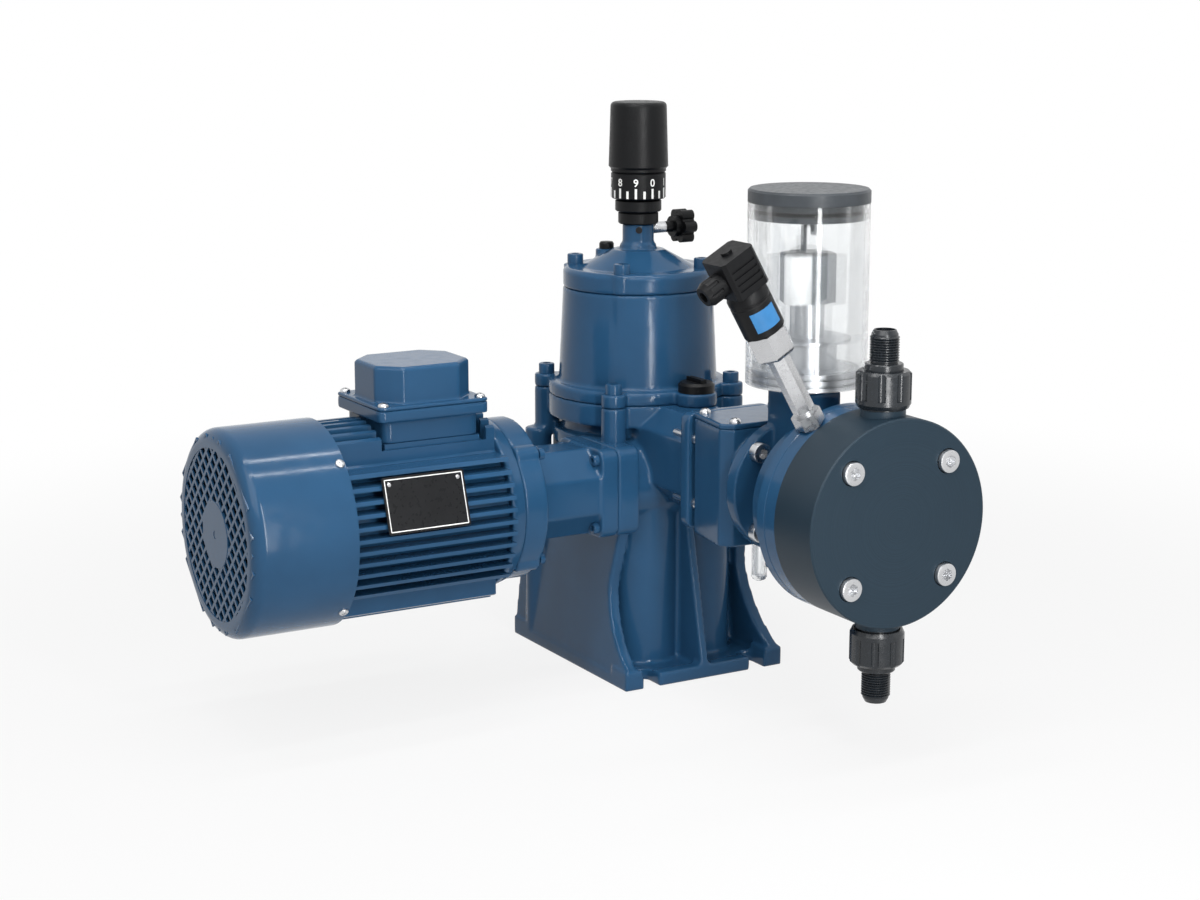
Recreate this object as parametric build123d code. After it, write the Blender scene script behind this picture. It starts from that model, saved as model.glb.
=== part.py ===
from build123d import *
import math
import os

# A motor-driven diaphragm metering pump.  All sizes are in millimetres.
# +X runs along the plunger to the pump head, the motor lies toward -Y and +Z is up.
# The origin is on the standing face, under the axis of the crank and the stroke knob.

# ---------------------------------------------------------------- main axes
centre_distance = 50.0       # worm axis to worm wheel axis
worm_height = 155.5          # worm and motor axis above the standing face
plunger_rise = 25.3          # plunger and head axis above the worm axis
plunger_height = worm_height + plunger_rise

# ---------------------------------------------------------------- clearances
running_gap = 0.05           # radial gap of a shaft in its bearing
free_gap = 0.4               # gap between pieces that pass each other
screw_gap = 0.15             # radial gap round a screw's shank

# ---------------------------------------------------------------- gear casing
base_back = 81.6
base_front = 107.7
base_half_width = 73.7
base_thickness = 9.0
foot_height = 15.0           # raised corner at each bolt slot
slot_width = 14.0
slot_spacing = 100.0         # across the base, between the slots
slot_depth = 24.0            # from the edge of the base to the slot's round end
foot_width = 16.0
lip_depth = 12.0             # thicker strip along the base's front edge
side_plate = 10.0
side_lean = 6.3              # degrees that the side plates lean inward
waist_x = 66.0               # front edge of a side plate where it is narrowest
waist_height = 78.0
shoulder_x = 74.0
shoulder_height = worm_height - 33.5
casing_wall = 9.0
column_radius = 28.0         # rounded columns under the worm
column_offset = 25.0
side_rib_radius = 11.0
side_rib_x = -56.0
front_rib = 7.0              # thickness of the centre rib
drum_radius = 62.0           # round upper part of the casing
cavity_radius = 54.0
ledge_radius = 69.0
ledge_thickness = 12.0
casing_rise = 37.7           # joint face with the stroke housing above the plunger axis
casing_top = plunger_height + casing_rise
ledge_height = casing_top - 34.5  # centre height of the ledge under the flange
flange_radius = 73.6
flange_thickness = 18.5
lug_radius = 10.0
lug_pitch = 77.9             # radius of the circle of housing screws
lug_drop = 40.0              # length of a lug's column below the joint
partition_drop = 43.5        # worm axis to the underside of the floor that carries the crank wheel
partition_height = worm_height - partition_drop
partition_thickness = 12.0
boss_radius = 33.0           # worm housing, both sides
boss_end = 68.0              # joint face with the motor adapter, measured from the wheel axis
lobe_radius = 8.0
lobe_pitch = 38.5
lobe_thickness = 19.0
front_flange_x = 141.0
front_flange_thickness = 11.0
front_flange_width = 80.0
front_flange_height = 91.0
front_screw_width = 64.0
front_screw_height = 51.0
tunnel_width = 72.0
tunnel_height = 74.0
tunnel_chamfer = 16.0
tunnel_bore = 24.0
filler_x = 79.0
filler_y = 7.0
filler_radius = 14.5
filler_plug_height = 8.0

# ---------------------------------------------------------------- stroke housing and cap
housing_flange = 10.5
housing_foot_radius = 64.8
housing_top_radius = 61.0
housing_height = 86.5
housing_top = casing_top + housing_height
housing_wall = 7.0
housing_web_rise = 10.0      # underside of the web that carries the crank's upper journal
housing_web = 16.0
housing_column_radius = 9.5
cap_pitch = 53.0             # radius of the circle of cap screws
cap_rim = 16.0               # height of the cap's cylindrical rim
cap_cone_radius = 46.0
cap_cone_top_radius = 20.7
cap_cone_height = 14.0
neck_radius = 12.8
neck_length = 20.4
neck_top = housing_top + cap_rim + cap_cone_height + neck_length
breather_x = -27.0
breather_y = -14.0
breather_radius = 6.0
casing_screw_radius = 4.0
casing_screw_head_radius = 6.5
casing_screw_head = 8.0
flange_screw_radius = 3.0
flange_screw_head_radius = 4.4
flange_screw_head = 4.4

# ---------------------------------------------------------------- stroke adjuster
sleeve_low_radius = 16.25
sleeve_mid_radius = 18.7
sleeve_top_radius = 22.1
sleeve_low = 9.6
sleeve_mid = 10.5
sleeve_high = 21.5
knob_radius = 24.1
knob_top_radius = 22.6
knob_length = 56.0
spindle_radius = 6.0
spindle_collar_radius = 9.5
spindle_collar = 5.0
lock_height = neck_top - 4.4
lock_stud_radius = 3.0
lock_reach = 24.0            # neck surface to the lock knob
lock_knob_radius = 14.5
lock_knob_thickness = 11.0
lock_lobes = 6

# ---------------------------------------------------------------- worm gear
module_size = 2.0
wheel_teeth = 38
worm_pitch_radius = 12.0
worm_turns = 5
flank_gap = 0.5              # slack on each flank of the mesh
pressure_angle = 20.0
wheel_width = 14.0
hub_radius = 22.0
wheel_journal_radius = 19.0
bearing_radius = 26.0        # outer radius of the wheel's bearing
worm_journal_radius = 10.0
worm_bearing_radius = 21.0
worm_bearing_width = 12.0
worm_bearing_offset = 34.0

# ---------------------------------------------------------------- slanted crank
stroke = 10.0                # plunger travel at full setting
crank_lift = 15.0            # travel of the slanted crank for full stroke
shank_radius = 14.0
slant_radius = 8.0
ring_radius = 20.0           # eccentric sleeve
ring_height = 18.0
journal_radius = 18.0
journal_length = 52.0
crank_head_radius = 12.0
crank_head = 6.0
crank_neck_radius = 7.0
crank_neck = 7.0
cup_radius = 20.0
key_width = 6.0
key_height = 2.5

# ---------------------------------------------------------------- plunger
yoke_wall = 8.0
rod_radius = 9.0
rod_end = 168.0
plunger_radius = 11.0
plunger_end = 246.0
seal_radius = 19.0
seal_length = 14.0
bore_gap = 1.5               # radial room round the plunger outside its seal

# ---------------------------------------------------------------- hydraulic box
box_gap = 5.0                # neck between casing flange and box
box_length = 54.0
box_back_width = 74.0
box_front_width = 88.0
box_chamfer = 8.0
box_height = 90.0
box_wall = 7.0
box_lid = 4.0
box_neck_width = 50.0
box_neck_height = 66.0
ring_step_1 = 43.0
ring_step_2 = 38.0
ring_step_length = 5.0
drain_radius = 6.0
drain_length = 34.0
drain_x = 182.0
small_screw_radius = 2.0
small_screw_head_radius = 4.4
small_screw_head = 4.0

# ---------------------------------------------------------------- manifold, carrier and head
block_length = 48.0
block_width = 32.0
block_bottom = plunger_height - 61.8
block_top = plunger_height + 77.2
block_flange_radius = 50.0
block_flange = 12.0
block_screw_pitch = 42.4
block_screw_radius = 3.0
block_screw_head_radius = 6.0
block_screw_head = 6.0
chamber_radius = 60.0        # dark cylinder between block and carrier
chamber_length = 28.0
head_radius = 75.0
carrier_thickness = 21.5
carrier_step = 9.0
diaphragm_thickness = 3.0
diaphragm_radius = 52.0
head_thickness = 44.0
head_screw_offset = 41.0
head_screw_radius = 5.0
head_screw_head_radius = 6.6
head_recess_radius = 9.0
head_recess = 7.0
washer_thickness = 1.5

# ---------------------------------------------------------------- valves
valve_neck_radius = 16.0
valve_neck = 4.0
nut_radius = 19.5
nut_length = 26.0
nut_ribs = 9
collar_radius = 13.5
collar_length = 5.0
nipple_radius = 10.4775      # G 1/2 thread
nipple_length = 23.4
nipple_bore = 7.0
ball_radius = 8.0
ball_lift = 3.0
seat_radius = 6.0
valve_bore = 10.0

# ---------------------------------------------------------------- reservoir
reservoir_radius = 44.3
reservoir_wall = 4.4
reservoir_low = block_top + 5.0
reservoir_length = 132.0
reservoir_high = reservoir_low + reservoir_length
reservoir_lid_height = 9.7
lid_spigot = 12.0
base_plug_height = 12.0
pipe_radius = 12.5
relief_body_width = 38.0
relief_tube_radius = 10.2

# ---------------------------------------------------------------- rupture sensor
sensor_angle = 30.0          # degrees from the vertical, toward the motor
sensor_seat = 1.0            # depth of the flat spot on the carrier's rim
stem_nut = 12.0
stem_nut_flats = 19.0
stem_flats = 14.0
stem_length = 61.0
switch_flats = 27.0
switch_nut = 21.0
switch_radius = 15.0
switch_length = 34.0
plug_size = 28.0
plug_length = 29.0
gland_radius = 9.0
gland_length = 16.0
gland_bore = 4.0

# ---------------------------------------------------------------- motor
adapter_tail_radius = 33.5
adapter_tail = 15.0
adapter_cone_end = 143.0
adapter_cone_radius = 43.0
adapter_disc_radius = 63.0
adapter_disc = 22.0
adapter_wall = 7.0
shield_thickness = 13.0
frame_length = 130.0
frame_radius = 61.0
frame_bore = 56.0
fin_radius = 75.0
fin_pitch = 9.0
fin_thickness = 3.0
fins_each_way = 5
cover_radius = 78.0
cover_length = 80.0
cover_wall = 2.0
cover_edge = 9.0             # rounding of the fan cover's rear edge
grille_radius = 62.0
grille_pitch = 13.5
grille_slot_length = 15.0
grille_slot_width = 6.5
motor_shaft_radius = 10.0
motor_shaft_end_radius = 9.5
motor_bearing_radius = 23.5
motor_bearing_width = 14.0
rotor_radius = 35.0
rotor_length = 85.0
air_gap = 0.5
fan_radius = 60.0
fan_blades = 8
fan_width = 24.0
shaft_end = 96.0

# ---------------------------------------------------------------- terminal box
terminal_y = -228.0
terminal_seat = worm_height + 60.5
terminal_foot = 17.0
terminal_rim = 8.5
terminal_rim_x = 80.0
terminal_rim_y = 90.0
terminal_lid_x = 68.0
terminal_lid_y = 78.0
terminal_lid = 30.5
terminal_chamfer = 16.0
terminal_gland_radius = 13.0
terminal_gland = 20.0

UPRIGHT = (Align.CENTER, Align.CENTER, Align.MIN)
DIAGONALS = (45, 135, 225, 315)


# ---------------------------------------------------------------- helpers
def facing_x(x, y, z):
    """A frame whose axis runs along +X, with its own x along +Y."""
    return Plane((x, y, z), x_dir=(0, 1, 0), z_dir=(1, 0, 0))


def facing_motor(x, y, z):
    """A frame whose axis runs along -Y, with its own x along +X."""
    return Plane((x, y, z), x_dir=(1, 0, 0), z_dir=(0, -1, 0))


def rod(frame, radius, length, start=0.0):
    return frame * Pos(0, 0, start) * Cylinder(radius, length, align=UPRIGHT)


def block(frame, width, depth, length, start=0.0):
    return frame * Pos(0, 0, start) * Box(width, depth, length, align=UPRIGHT)


def ring(frame, outer, inner, length, start=0.0):
    return rod(frame, outer, length, start) - rod(frame, inner, length, start)


def turn(frame, *points):
    """Revolve a closed outline of (radius, distance along the axis) points."""
    outline = Polyline(*[(radius, 0, along) for radius, along in points], close=True)
    return frame * revolve(make_face(outline), Axis.Z)


def prism(frame, flats, length, start=0.0, sides=6):
    radius = flats / 2 / math.cos(math.pi / sides)
    return frame * Pos(0, 0, start) * extrude(RegularPolygon(radius, sides), amount=length)


def chamfered_bar(frame, width, depth, corner, length, start=0.0):
    outline = chamfer(Rectangle(width, depth).vertices(), corner)
    return frame * Pos(0, 0, start) * extrude(outline, amount=length)


def rounded_bar(frame, width, depth, corner, length, start=0.0):
    return frame * Pos(0, 0, start) * extrude(RectangleRounded(width, depth, corner), amount=length)


def polar(frame, pitch_radius, angle):
    """The frame moved out by pitch_radius in the direction of angle, in degrees."""
    turned = math.radians(angle)
    return frame * Pos(pitch_radius * math.cos(turned), pitch_radius * math.sin(turned), 0)


def cap_screw(seat, shank_radius, head_radius, head, shank):
    """A screw whose head stands on the seat frame, with its shank below."""
    edge = head_radius * 0.12
    return turn(seat, (0, head), (head_radius - edge, head), (head_radius, head - edge), (head_radius, 0),
                (shank_radius, 0), (shank_radius, -shank), (0, -shank))


def save(name, *solids):
    shape = solids[0] if len(solids) == 1 else Compound(children=list(solids))
    export_step(shape, f"parts/{name}.step")


floor = Plane.XY
worm_line = facing_motor(centre_distance, 0, worm_height)
pump_line = facing_x(0, 0, plunger_height)


# ---------------------------------------------------------------- gear casing
lean = math.tan(math.radians(side_lean))


def base_plate():
    middle = (base_front - base_back) / 2
    plate = Pos(middle, 0, 0) * Box(base_front + base_back, 2 * base_half_width, base_thickness,
                                    align=UPRIGHT)
    lip = Pos(base_front - lip_depth / 2, 0, 0) * Box(
        lip_depth, slot_spacing - slot_width, base_thickness + 2, align=UPRIGHT)
    solid = plate + lip
    for side in (-1, 1):
        foot_middle = side * (base_half_width - foot_width / 2)
        for x, depth in ((base_front - slot_depth / 2, slot_depth),
                         (slot_depth / 2 - base_back, slot_depth)):
            solid += Pos(x, foot_middle, 0) * Box(depth, foot_width, foot_height, align=UPRIGHT)
    return solid


def bolt_slots():
    cuts = []
    for side in (-1, 1):
        y = side * slot_spacing / 2
        for edge, inward in ((base_front, -1), (-base_back, 1)):
            end = edge + inward * (slot_depth - slot_width / 2)
            reach = slot_depth - slot_width / 2 + 2
            open_end = Pos(end - inward * reach / 2, y, -1) * Box(reach, slot_width, foot_height + 2,
                                                                  align=UPRIGHT)
            cuts.append(open_end + rod(Plane((end, y, -1)), slot_width / 2, foot_height + 2))
    return cuts


def side_plates():
    """The leaning plates that flare down to the corners of the base."""
    front = [(base_front, foot_height), (base_front * 0.75, waist_height * 0.5), (waist_x, waist_height)]
    flare = ThreePointArc(*[(x, 0, z) for x, z in front])
    rest = Polyline((waist_x, 0, waist_height), (shoulder_x, 0, shoulder_height),
                    (-base_back, 0, shoulder_height),
                    (-base_back, 0, 0), (base_front, 0, 0), (base_front, 0, foot_height))
    plate = extrude(make_face(flare.edges() + rest.edges()), amount=side_plate / 2, both=True)
    solids = []
    for side in (-1, 1):
        middle = side * (base_half_width - side_plate / 2)
        upright_rib = Plane((side_rib_x, side * (base_half_width - side_rib_radius), 0))
        solids.append(Pos(0, middle, 0) * Rot(side * side_lean, 0, 0) * plate)
        solids.append(rod(upright_rib, side_rib_radius, ledge_height))
    return solids


def casing_body():
    top = partition_height + partition_thickness
    low_half = base_half_width - side_plate * 0.6
    high_half = low_half - top * lean
    depth = centre_distance + base_back - 2
    sections = [Pos(centre_distance - depth / 2, 0, base_thickness) * Rectangle(depth, 2 * low_half),
                Pos(centre_distance - depth / 2, 0, top) * Rectangle(depth, 2 * high_half)]
    solid = loft(sections)
    for side in (-1, 1):
        column = Plane((centre_distance, side * column_offset, base_thickness))
        solid += rod(column, column_radius, worm_height - base_thickness)
    front = column_radius * 0.7
    solid += Pos(centre_distance, 0, base_thickness) * Box(
        2 * front, 2 * column_offset, top - base_thickness, align=UPRIGHT)
    solid += rod(floor, drum_radius, casing_top - partition_height, partition_height)
    solid += rod(floor, ledge_radius, ledge_thickness, ledge_height - ledge_thickness / 2)
    solid += rod(floor, flange_radius, flange_thickness, casing_top - flange_thickness)
    solid += rod(Plane((0, 0, top)), base_back - 6, ledge_height - top) & Pos(
        -base_back / 2, 0, top) * Box(base_back, 96, ledge_height - top, align=UPRIGHT)
    for angle in DIAGONALS:
        solid += rod(polar(floor, lug_pitch, angle), lug_radius, lug_drop, casing_top - lug_drop)
    return solid


def worm_housing():
    solid = rod(worm_line, boss_radius, 2 * boss_end, -boss_end)
    for angle in DIAGONALS:
        lobe = polar(worm_line, lobe_pitch, angle)
        solid += rod(lobe, lobe_radius, lobe_thickness, boss_end - lobe_thickness)
    return solid


def plunger_tunnel():
    length = front_flange_x - front_flange_thickness
    solid = chamfered_bar(pump_line, tunnel_width, tunnel_height, tunnel_chamfer, length)
    solid += rounded_bar(pump_line, front_flange_width, front_flange_height, 8, front_flange_thickness,
                         length)
    rib_foot = base_front
    outline = Polyline((centre_distance, 0, base_thickness), (rib_foot, 0, base_thickness),
                       (rib_foot - 1, 0, base_thickness + 5), (rib_foot * 0.77, 0, shoulder_height),
                       (rib_foot, 0, plunger_height - tunnel_height / 2 + 2),
                       (centre_distance, 0, plunger_height - tunnel_height / 2 + 2), close=True)
    solid += extrude(make_face(outline), amount=front_rib / 2, both=True)
    filler_boss = Plane((filler_x, filler_y, plunger_height))
    solid += rod(filler_boss, filler_radius + 2, casing_top - plunger_height)
    return solid


def gear_casing():
    solid = base_plate() + casing_body() + worm_housing() + plunger_tunnel()
    solid += side_plates()
    solid -= Pos(0, 0, -20) * Box(400, 400, 20, align=UPRIGHT)
    for slot in bolt_slots():
        solid -= slot
    wheel_room = partition_height + partition_thickness
    solid -= rod(floor, cavity_radius, casing_top - wheel_room + 1, wheel_room)
    solid -= rod(floor, bearing_radius, partition_thickness + 1, partition_height - 0.5)
    sump_x = centre_distance + base_back - 2 * casing_wall - 2
    sump_y = 2 * (base_half_width - side_plate - casing_wall - partition_height * lean)
    sump_low = base_thickness + casing_wall
    solid -= Pos(centre_distance - casing_wall - sump_x / 2, 0, sump_low) * Box(
        sump_x, sump_y, partition_height - sump_low, align=UPRIGHT)
    for angle in DIAGONALS:
        oil_hole = polar(floor, bearing_radius + 8, angle)
        solid -= rod(oil_hole, 4, partition_thickness + 2, partition_height - 1)
        solid -= rod(polar(floor, lug_pitch, angle), casing_screw_radius + screw_gap, 16, casing_top - 15)
        solid -= rod(polar(worm_line, lobe_pitch, angle), flange_screw_radius + screw_gap, 16, boss_end - 15)
    solid -= rod(worm_line, worm_bearing_radius, 2 * boss_end, -boss_end)
    solid -= rod(pump_line, tunnel_bore, front_flange_x + 1)
    for y in (-1, 1):
        for z in (-1, 1):
            hole = pump_line * Pos(y * front_screw_width / 2, z * front_screw_height / 2, 0)
            solid -= rod(hole, flange_screw_radius + screw_gap, 20, front_flange_x - 19)
    solid -= rod(Plane((filler_x, filler_y, 0)), filler_radius - 5, casing_top - plunger_height + 1,
                 plunger_height)
    return solid


def worm_end_cover():
    """The pressed-in cap that closes the far end of the worm's bore."""
    end = facing_motor(centre_distance, boss_end, worm_height)
    return turn(end, (0, 0), (worm_bearing_radius, 0), (worm_bearing_radius, 10),
                (worm_bearing_radius - 3, 10), (worm_bearing_radius - 3, 4), (0, 4))


def gear_bearings():
    wheel_bearing = ring(floor, bearing_radius, wheel_journal_radius + running_gap,
                         partition_thickness, partition_height)
    pair = []
    for side in (-1, 1):
        start = side * worm_bearing_offset - (worm_bearing_width if side < 0 else 0)
        pair.append(ring(worm_line, worm_bearing_radius, worm_journal_radius + running_gap,
                         worm_bearing_width, start))
    return [wheel_bearing] + pair


filler_seat = casing_top + housing_flange


def filler_plug():
    seat = Plane((filler_x, filler_y, filler_seat))
    thread = filler_radius - 5 - screw_gap
    top = filler_plug_height
    plug = turn(seat, (0, -12), (thread, -12), (thread, 0), (filler_radius, 0), (filler_radius, top - 2),
                (filler_radius - 2, top), (0, top))
    return plug + block(seat, filler_radius * 1.5, 5, 3, top)


save("gear_casing", gear_casing())
save("worm_end_cover", worm_end_cover())
save("gear_bearings", *gear_bearings())
save("oil_filler_plug", filler_plug())


# ---------------------------------------------------------------- stroke housing and top cap
cap_seat = housing_top + cap_rim
guide_low = casing_top + 40
cup_rest_top = cap_seat - 24


def stroke_housing():
    foot = casing_top + housing_flange
    shell = [(0, casing_top), (flange_radius, casing_top), (flange_radius, foot - 2),
             (flange_radius - 2, foot),
             (housing_foot_radius, foot), (housing_top_radius, housing_top), (0, housing_top)]
    solid = turn(floor, *shell)
    for angle in DIAGONALS:
        solid += rod(polar(floor, lug_pitch, angle), lug_radius, housing_flange, casing_top)
        solid += rod(polar(floor, cap_pitch, angle), housing_column_radius, housing_height, casing_top)
    solid += rod(Plane((filler_x, filler_y, casing_top)), filler_radius + 2, filler_seat - casing_top)
    web_low = casing_top + housing_web_rise
    web_high = web_low + housing_web
    inner_foot = housing_foot_radius - housing_wall
    inner_top = housing_top_radius - housing_wall
    solid -= turn(floor, (0, web_high), (inner_foot - 8, web_high), (inner_top - 10, housing_top + 1),
                  (0, housing_top + 1))
    solid -= rod(floor, inner_foot - 8, web_low - casing_top + 1, casing_top - 1)
    solid -= rod(floor, journal_radius + running_gap, 60, casing_top)
    for angle in DIAGONALS:
        solid -= rod(polar(floor, lug_pitch, angle), casing_screw_radius + screw_gap, 20, casing_top - 1)
        solid -= rod(polar(floor, cap_pitch, angle), casing_screw_radius + screw_gap, 24, housing_top - 22)
    solid -= rod(Plane((filler_x, filler_y, casing_top)), filler_radius - 5, 30, -1)
    return solid


def top_cap():
    cone_top = cap_seat + cap_cone_height
    solid = turn(floor, (0, housing_top), (housing_top_radius, housing_top),
                 (housing_top_radius, cap_seat - 3),
                 (housing_top_radius - 3, cap_seat), (cap_cone_radius, cap_seat),
                 (cap_cone_top_radius, cone_top), (neck_radius + 2, cone_top),
                 (neck_radius + 2, cone_top + 4),
                 (neck_radius, cone_top + 5), (neck_radius, neck_top), (0, neck_top))
    for angle in DIAGONALS:
        column = polar(floor, cap_pitch, angle)
        solid += rod(column, housing_column_radius, cap_rim, housing_top)
        solid -= rod(column, casing_screw_radius + screw_gap, cap_rim + 2, housing_top - 1)
    solid += rod(Plane((breather_x, breather_y, housing_top)), breather_radius + 3, cap_rim + 12)
    guide = ring(floor, cup_radius + 6, cup_radius, housing_top - guide_low + 1, guide_low)
    key = Pos(0, cup_radius + 1, guide_low) * Box(key_width, 2 * key_height, 40, align=UPRIGHT)
    solid += guide
    solid -= rod(floor, cup_radius, cup_rest_top + 4 - guide_low, guide_low)
    solid -= rod(floor, spindle_collar_radius + running_gap, cap_seat + 4 - guide_low, guide_low)
    solid -= rod(floor, spindle_radius + running_gap, 100, cap_seat)
    solid -= key
    lock_line = Plane((0, 0, lock_height), x_dir=(1, 0, 0), z_dir=(0, 1, 0))
    solid -= rod(lock_line, lock_stud_radius + running_gap, neck_radius + 4, 0)
    solid -= rod(Plane((breather_x, breather_y, cap_seat)), breather_radius - 2, 30, -12)
    return solid


def casing_screws():
    screws = []
    for angle in DIAGONALS:
        low = polar(Plane((0, 0, casing_top + housing_flange)), lug_pitch, angle)
        high = polar(Plane((0, 0, cap_seat)), cap_pitch, angle)
        screws.append(cap_screw(low, casing_screw_radius, casing_screw_head_radius, casing_screw_head, 22))
        screws.append(cap_screw(high, casing_screw_radius, casing_screw_head_radius, casing_screw_head, 32))
    return screws


def breather_plug():
    seat = Plane((breather_x, breather_y, housing_top + cap_rim + 12))
    return turn(seat, (0, -8), (breather_radius - 2 - screw_gap, -8), (breather_radius - 2 - screw_gap, 0),
                (breather_radius, 0), (breather_radius, 4), (breather_radius - 1, 5.5), (0, 5.5))


save("stroke_housing", stroke_housing())
save("top_cap", top_cap())
save("casing_screws", *casing_screws())
save("breather_plug", breather_plug())


# ---------------------------------------------------------------- stroke adjuster
sleeve_top = neck_top + sleeve_low + sleeve_mid + sleeve_high
knob_top = sleeve_top + knob_length


def graduated_sleeve():
    low = neck_top + sleeve_low
    mid = low + sleeve_mid
    return turn(floor, (spindle_radius + 1, neck_top), (sleeve_low_radius - 1, neck_top),
                (sleeve_low_radius, neck_top + 1),
                (sleeve_low_radius, low - 1), (sleeve_low_radius - 1, low),
                (sleeve_mid_radius - 1, low + 0.5),
                (sleeve_mid_radius, low + 1.5), (sleeve_mid_radius, mid - 1.5), (sleeve_mid_radius - 2, mid),
                (sleeve_top_radius - 1, mid + 0.5), (sleeve_top_radius, mid + 1.5),
                (sleeve_top_radius, sleeve_top - 1), (sleeve_top_radius - 1, sleeve_top),
                (spindle_radius + 1, sleeve_top))


def stroke_knob():
    low = sleeve_top + free_gap
    body = turn(floor, (spindle_radius, low), (knob_radius - 2, low), (knob_radius, low + 3),
                (knob_top_radius, knob_top - 4), (knob_top_radius - 1.2, knob_top - 1.2),
                (knob_top_radius - 4, knob_top),
                (0, knob_top), (0, knob_top - 12), (spindle_radius, knob_top - 12))
    grooves = [polar(floor, knob_radius + 0.6, 360 * i / 24) for i in range(24)]
    for groove in grooves:
        body -= rod(groove, 1.6, knob_length - 20, low + 8)
    return body


def adjusting_spindle():
    """Turns with the knob; its collar runs in the top cap and its thread drives the cup."""
    collar_low = cap_seat - spindle_collar
    low = cup_rest_top - 22
    return turn(floor, (0, low), (spindle_radius - 1, low), (spindle_radius, low + 1),
                (spindle_radius, collar_low), (spindle_collar_radius, collar_low),
                (spindle_collar_radius, cap_seat), (spindle_radius, cap_seat),
                (spindle_radius, knob_top - 12),
                (0, knob_top - 12))


def lock_knob():
    line = Plane((0, 0, lock_height), x_dir=(1, 0, 0), z_dir=(0, 1, 0))
    start = neck_radius + lock_reach
    solid = rod(line, lock_knob_radius - 4, lock_knob_thickness, start)
    for i in range(lock_lobes):
        lobe = polar(line, lock_knob_radius - 4.5, 360 * i / lock_lobes)
        solid += rod(lobe, 4.5, lock_knob_thickness, start)
    solid += rod(line, lock_knob_radius - 6, 5, start - 5)
    solid += rod(line, 4.5, 9, start - 14)
    solid += rod(line, lock_stud_radius, start - spindle_radius - 1.5, spindle_radius + 1.5)
    return solid


save("graduated_sleeve", graduated_sleeve())
save("stroke_knob", stroke_knob())
save("adjusting_spindle", adjusting_spindle())
save("lock_knob", lock_knob())


# ---------------------------------------------------------------- slanted crank
slant = math.degrees(math.atan(stroke / 2 / crank_lift))
slant_low = plunger_height - ring_height / 2 - 5
slant_high = plunger_height + ring_height / 2 + crank_lift + 3
journal_top = slant_high + journal_length
head_low = journal_top + crank_neck


def slanted_pin(radius, low, high):
    """A round pin whose axis leans toward +X and crosses the crank's axis at the plunger's height."""
    pin = Pos(0, 0, plunger_height) * Rot(0, slant, 0) * Cylinder(radius, 3 * (high - low))
    return pin & Pos(0, 0, low) * Box(120, 120, high - low, align=UPRIGHT)


def slanted_crank():
    low = worm_height - wheel_width
    solid = rod(floor, shank_radius, slant_low - low, low)
    solid += Pos(shank_radius, 0, low) * Box(2 * key_height, key_width, slant_low - low, align=UPRIGHT)
    solid += slanted_pin(slant_radius, slant_low, slant_high)
    solid += rod(floor, journal_radius, journal_length, slant_high)
    solid += rod(floor, crank_neck_radius, crank_neck, journal_top)
    solid += rod(floor, crank_head_radius, crank_head, head_low)
    return solid


def eccentric_sleeve():
    low = plunger_height - ring_height / 2
    return rod(floor, ring_radius, ring_height, low) - slanted_pin(
        slant_radius + running_gap, low - 1, low + ring_height + 1)


def thrust_cup():
    """Holds the crank's head, does not turn, and rides up and down on the spindle's thread."""
    inner = head_low - free_gap
    ceiling = head_low + crank_head + free_gap
    bottom = inner - 5
    solid = rod(floor, cup_radius - running_gap, cup_rest_top - bottom, bottom)
    solid += Pos(0, cup_radius - 0.5, bottom) * Box(
        key_width - 2 * running_gap, 2 * key_height, 18, align=UPRIGHT)
    solid -= rod(floor, crank_head_radius + free_gap, ceiling - inner, inner)
    solid -= rod(floor, crank_neck_radius + free_gap, 10, bottom - 1)
    solid -= rod(floor, spindle_radius + running_gap, cup_rest_top - ceiling + 1, ceiling - 0.5)
    return solid


save("slanted_crank", slanted_crank())
save("eccentric_sleeve", eccentric_sleeve())
save("thrust_cup", thrust_cup())


# ---------------------------------------------------------------- worm gear
lead = math.pi * module_size
lead_angle = math.degrees(math.atan(lead / (2 * math.pi * worm_pitch_radius)))
wheel_pitch_radius = centre_distance - worm_pitch_radius
addendum = module_size
dedendum = 1.2 * module_size


def tooth_half_width(height):
    """Half the width of a tooth at a height above the pitch line."""
    return lead / 4 - flank_gap / 2 - height * math.tan(math.radians(pressure_angle))


def worm_wheel():
    low = worm_height - wheel_width / 2
    root = wheel_pitch_radius - dedendum
    blank = rod(floor, root, wheel_width, low)
    inner, outer = -dedendum - 1, addendum
    outline = Polyline((root - 1, -tooth_half_width(inner)),
                       (wheel_pitch_radius + outer, -tooth_half_width(outer)),
                       (wheel_pitch_radius + outer, tooth_half_width(outer)),
                       (root - 1, tooth_half_width(inner)),
                       close=True)
    tooth = Rot(-lead_angle, 0, 0) * extrude(make_face(outline), amount=wheel_width, both=True)
    tooth = Pos(0, 0, worm_height) * tooth
    rim = ring(floor, wheel_pitch_radius + 2 * addendum, root - 2, wheel_width, low)
    tooth &= rim
    teeth = [Rot(0, 0, 360 * i / wheel_teeth) * tooth for i in range(wheel_teeth)]
    solid = blank + teeth
    solid += rod(floor, hub_radius, slant_low - 0.5 - low, low)
    solid += rod(floor, wheel_journal_radius, low - partition_height, partition_height)
    solid -= rod(floor, shank_radius + running_gap, 80, partition_height + 8)
    solid -= Pos(shank_radius, 0, partition_height + 8) * Box(
        2 * key_height + 0.5, key_width + 2 * running_gap, 80, align=UPRIGHT)
    return solid


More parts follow.
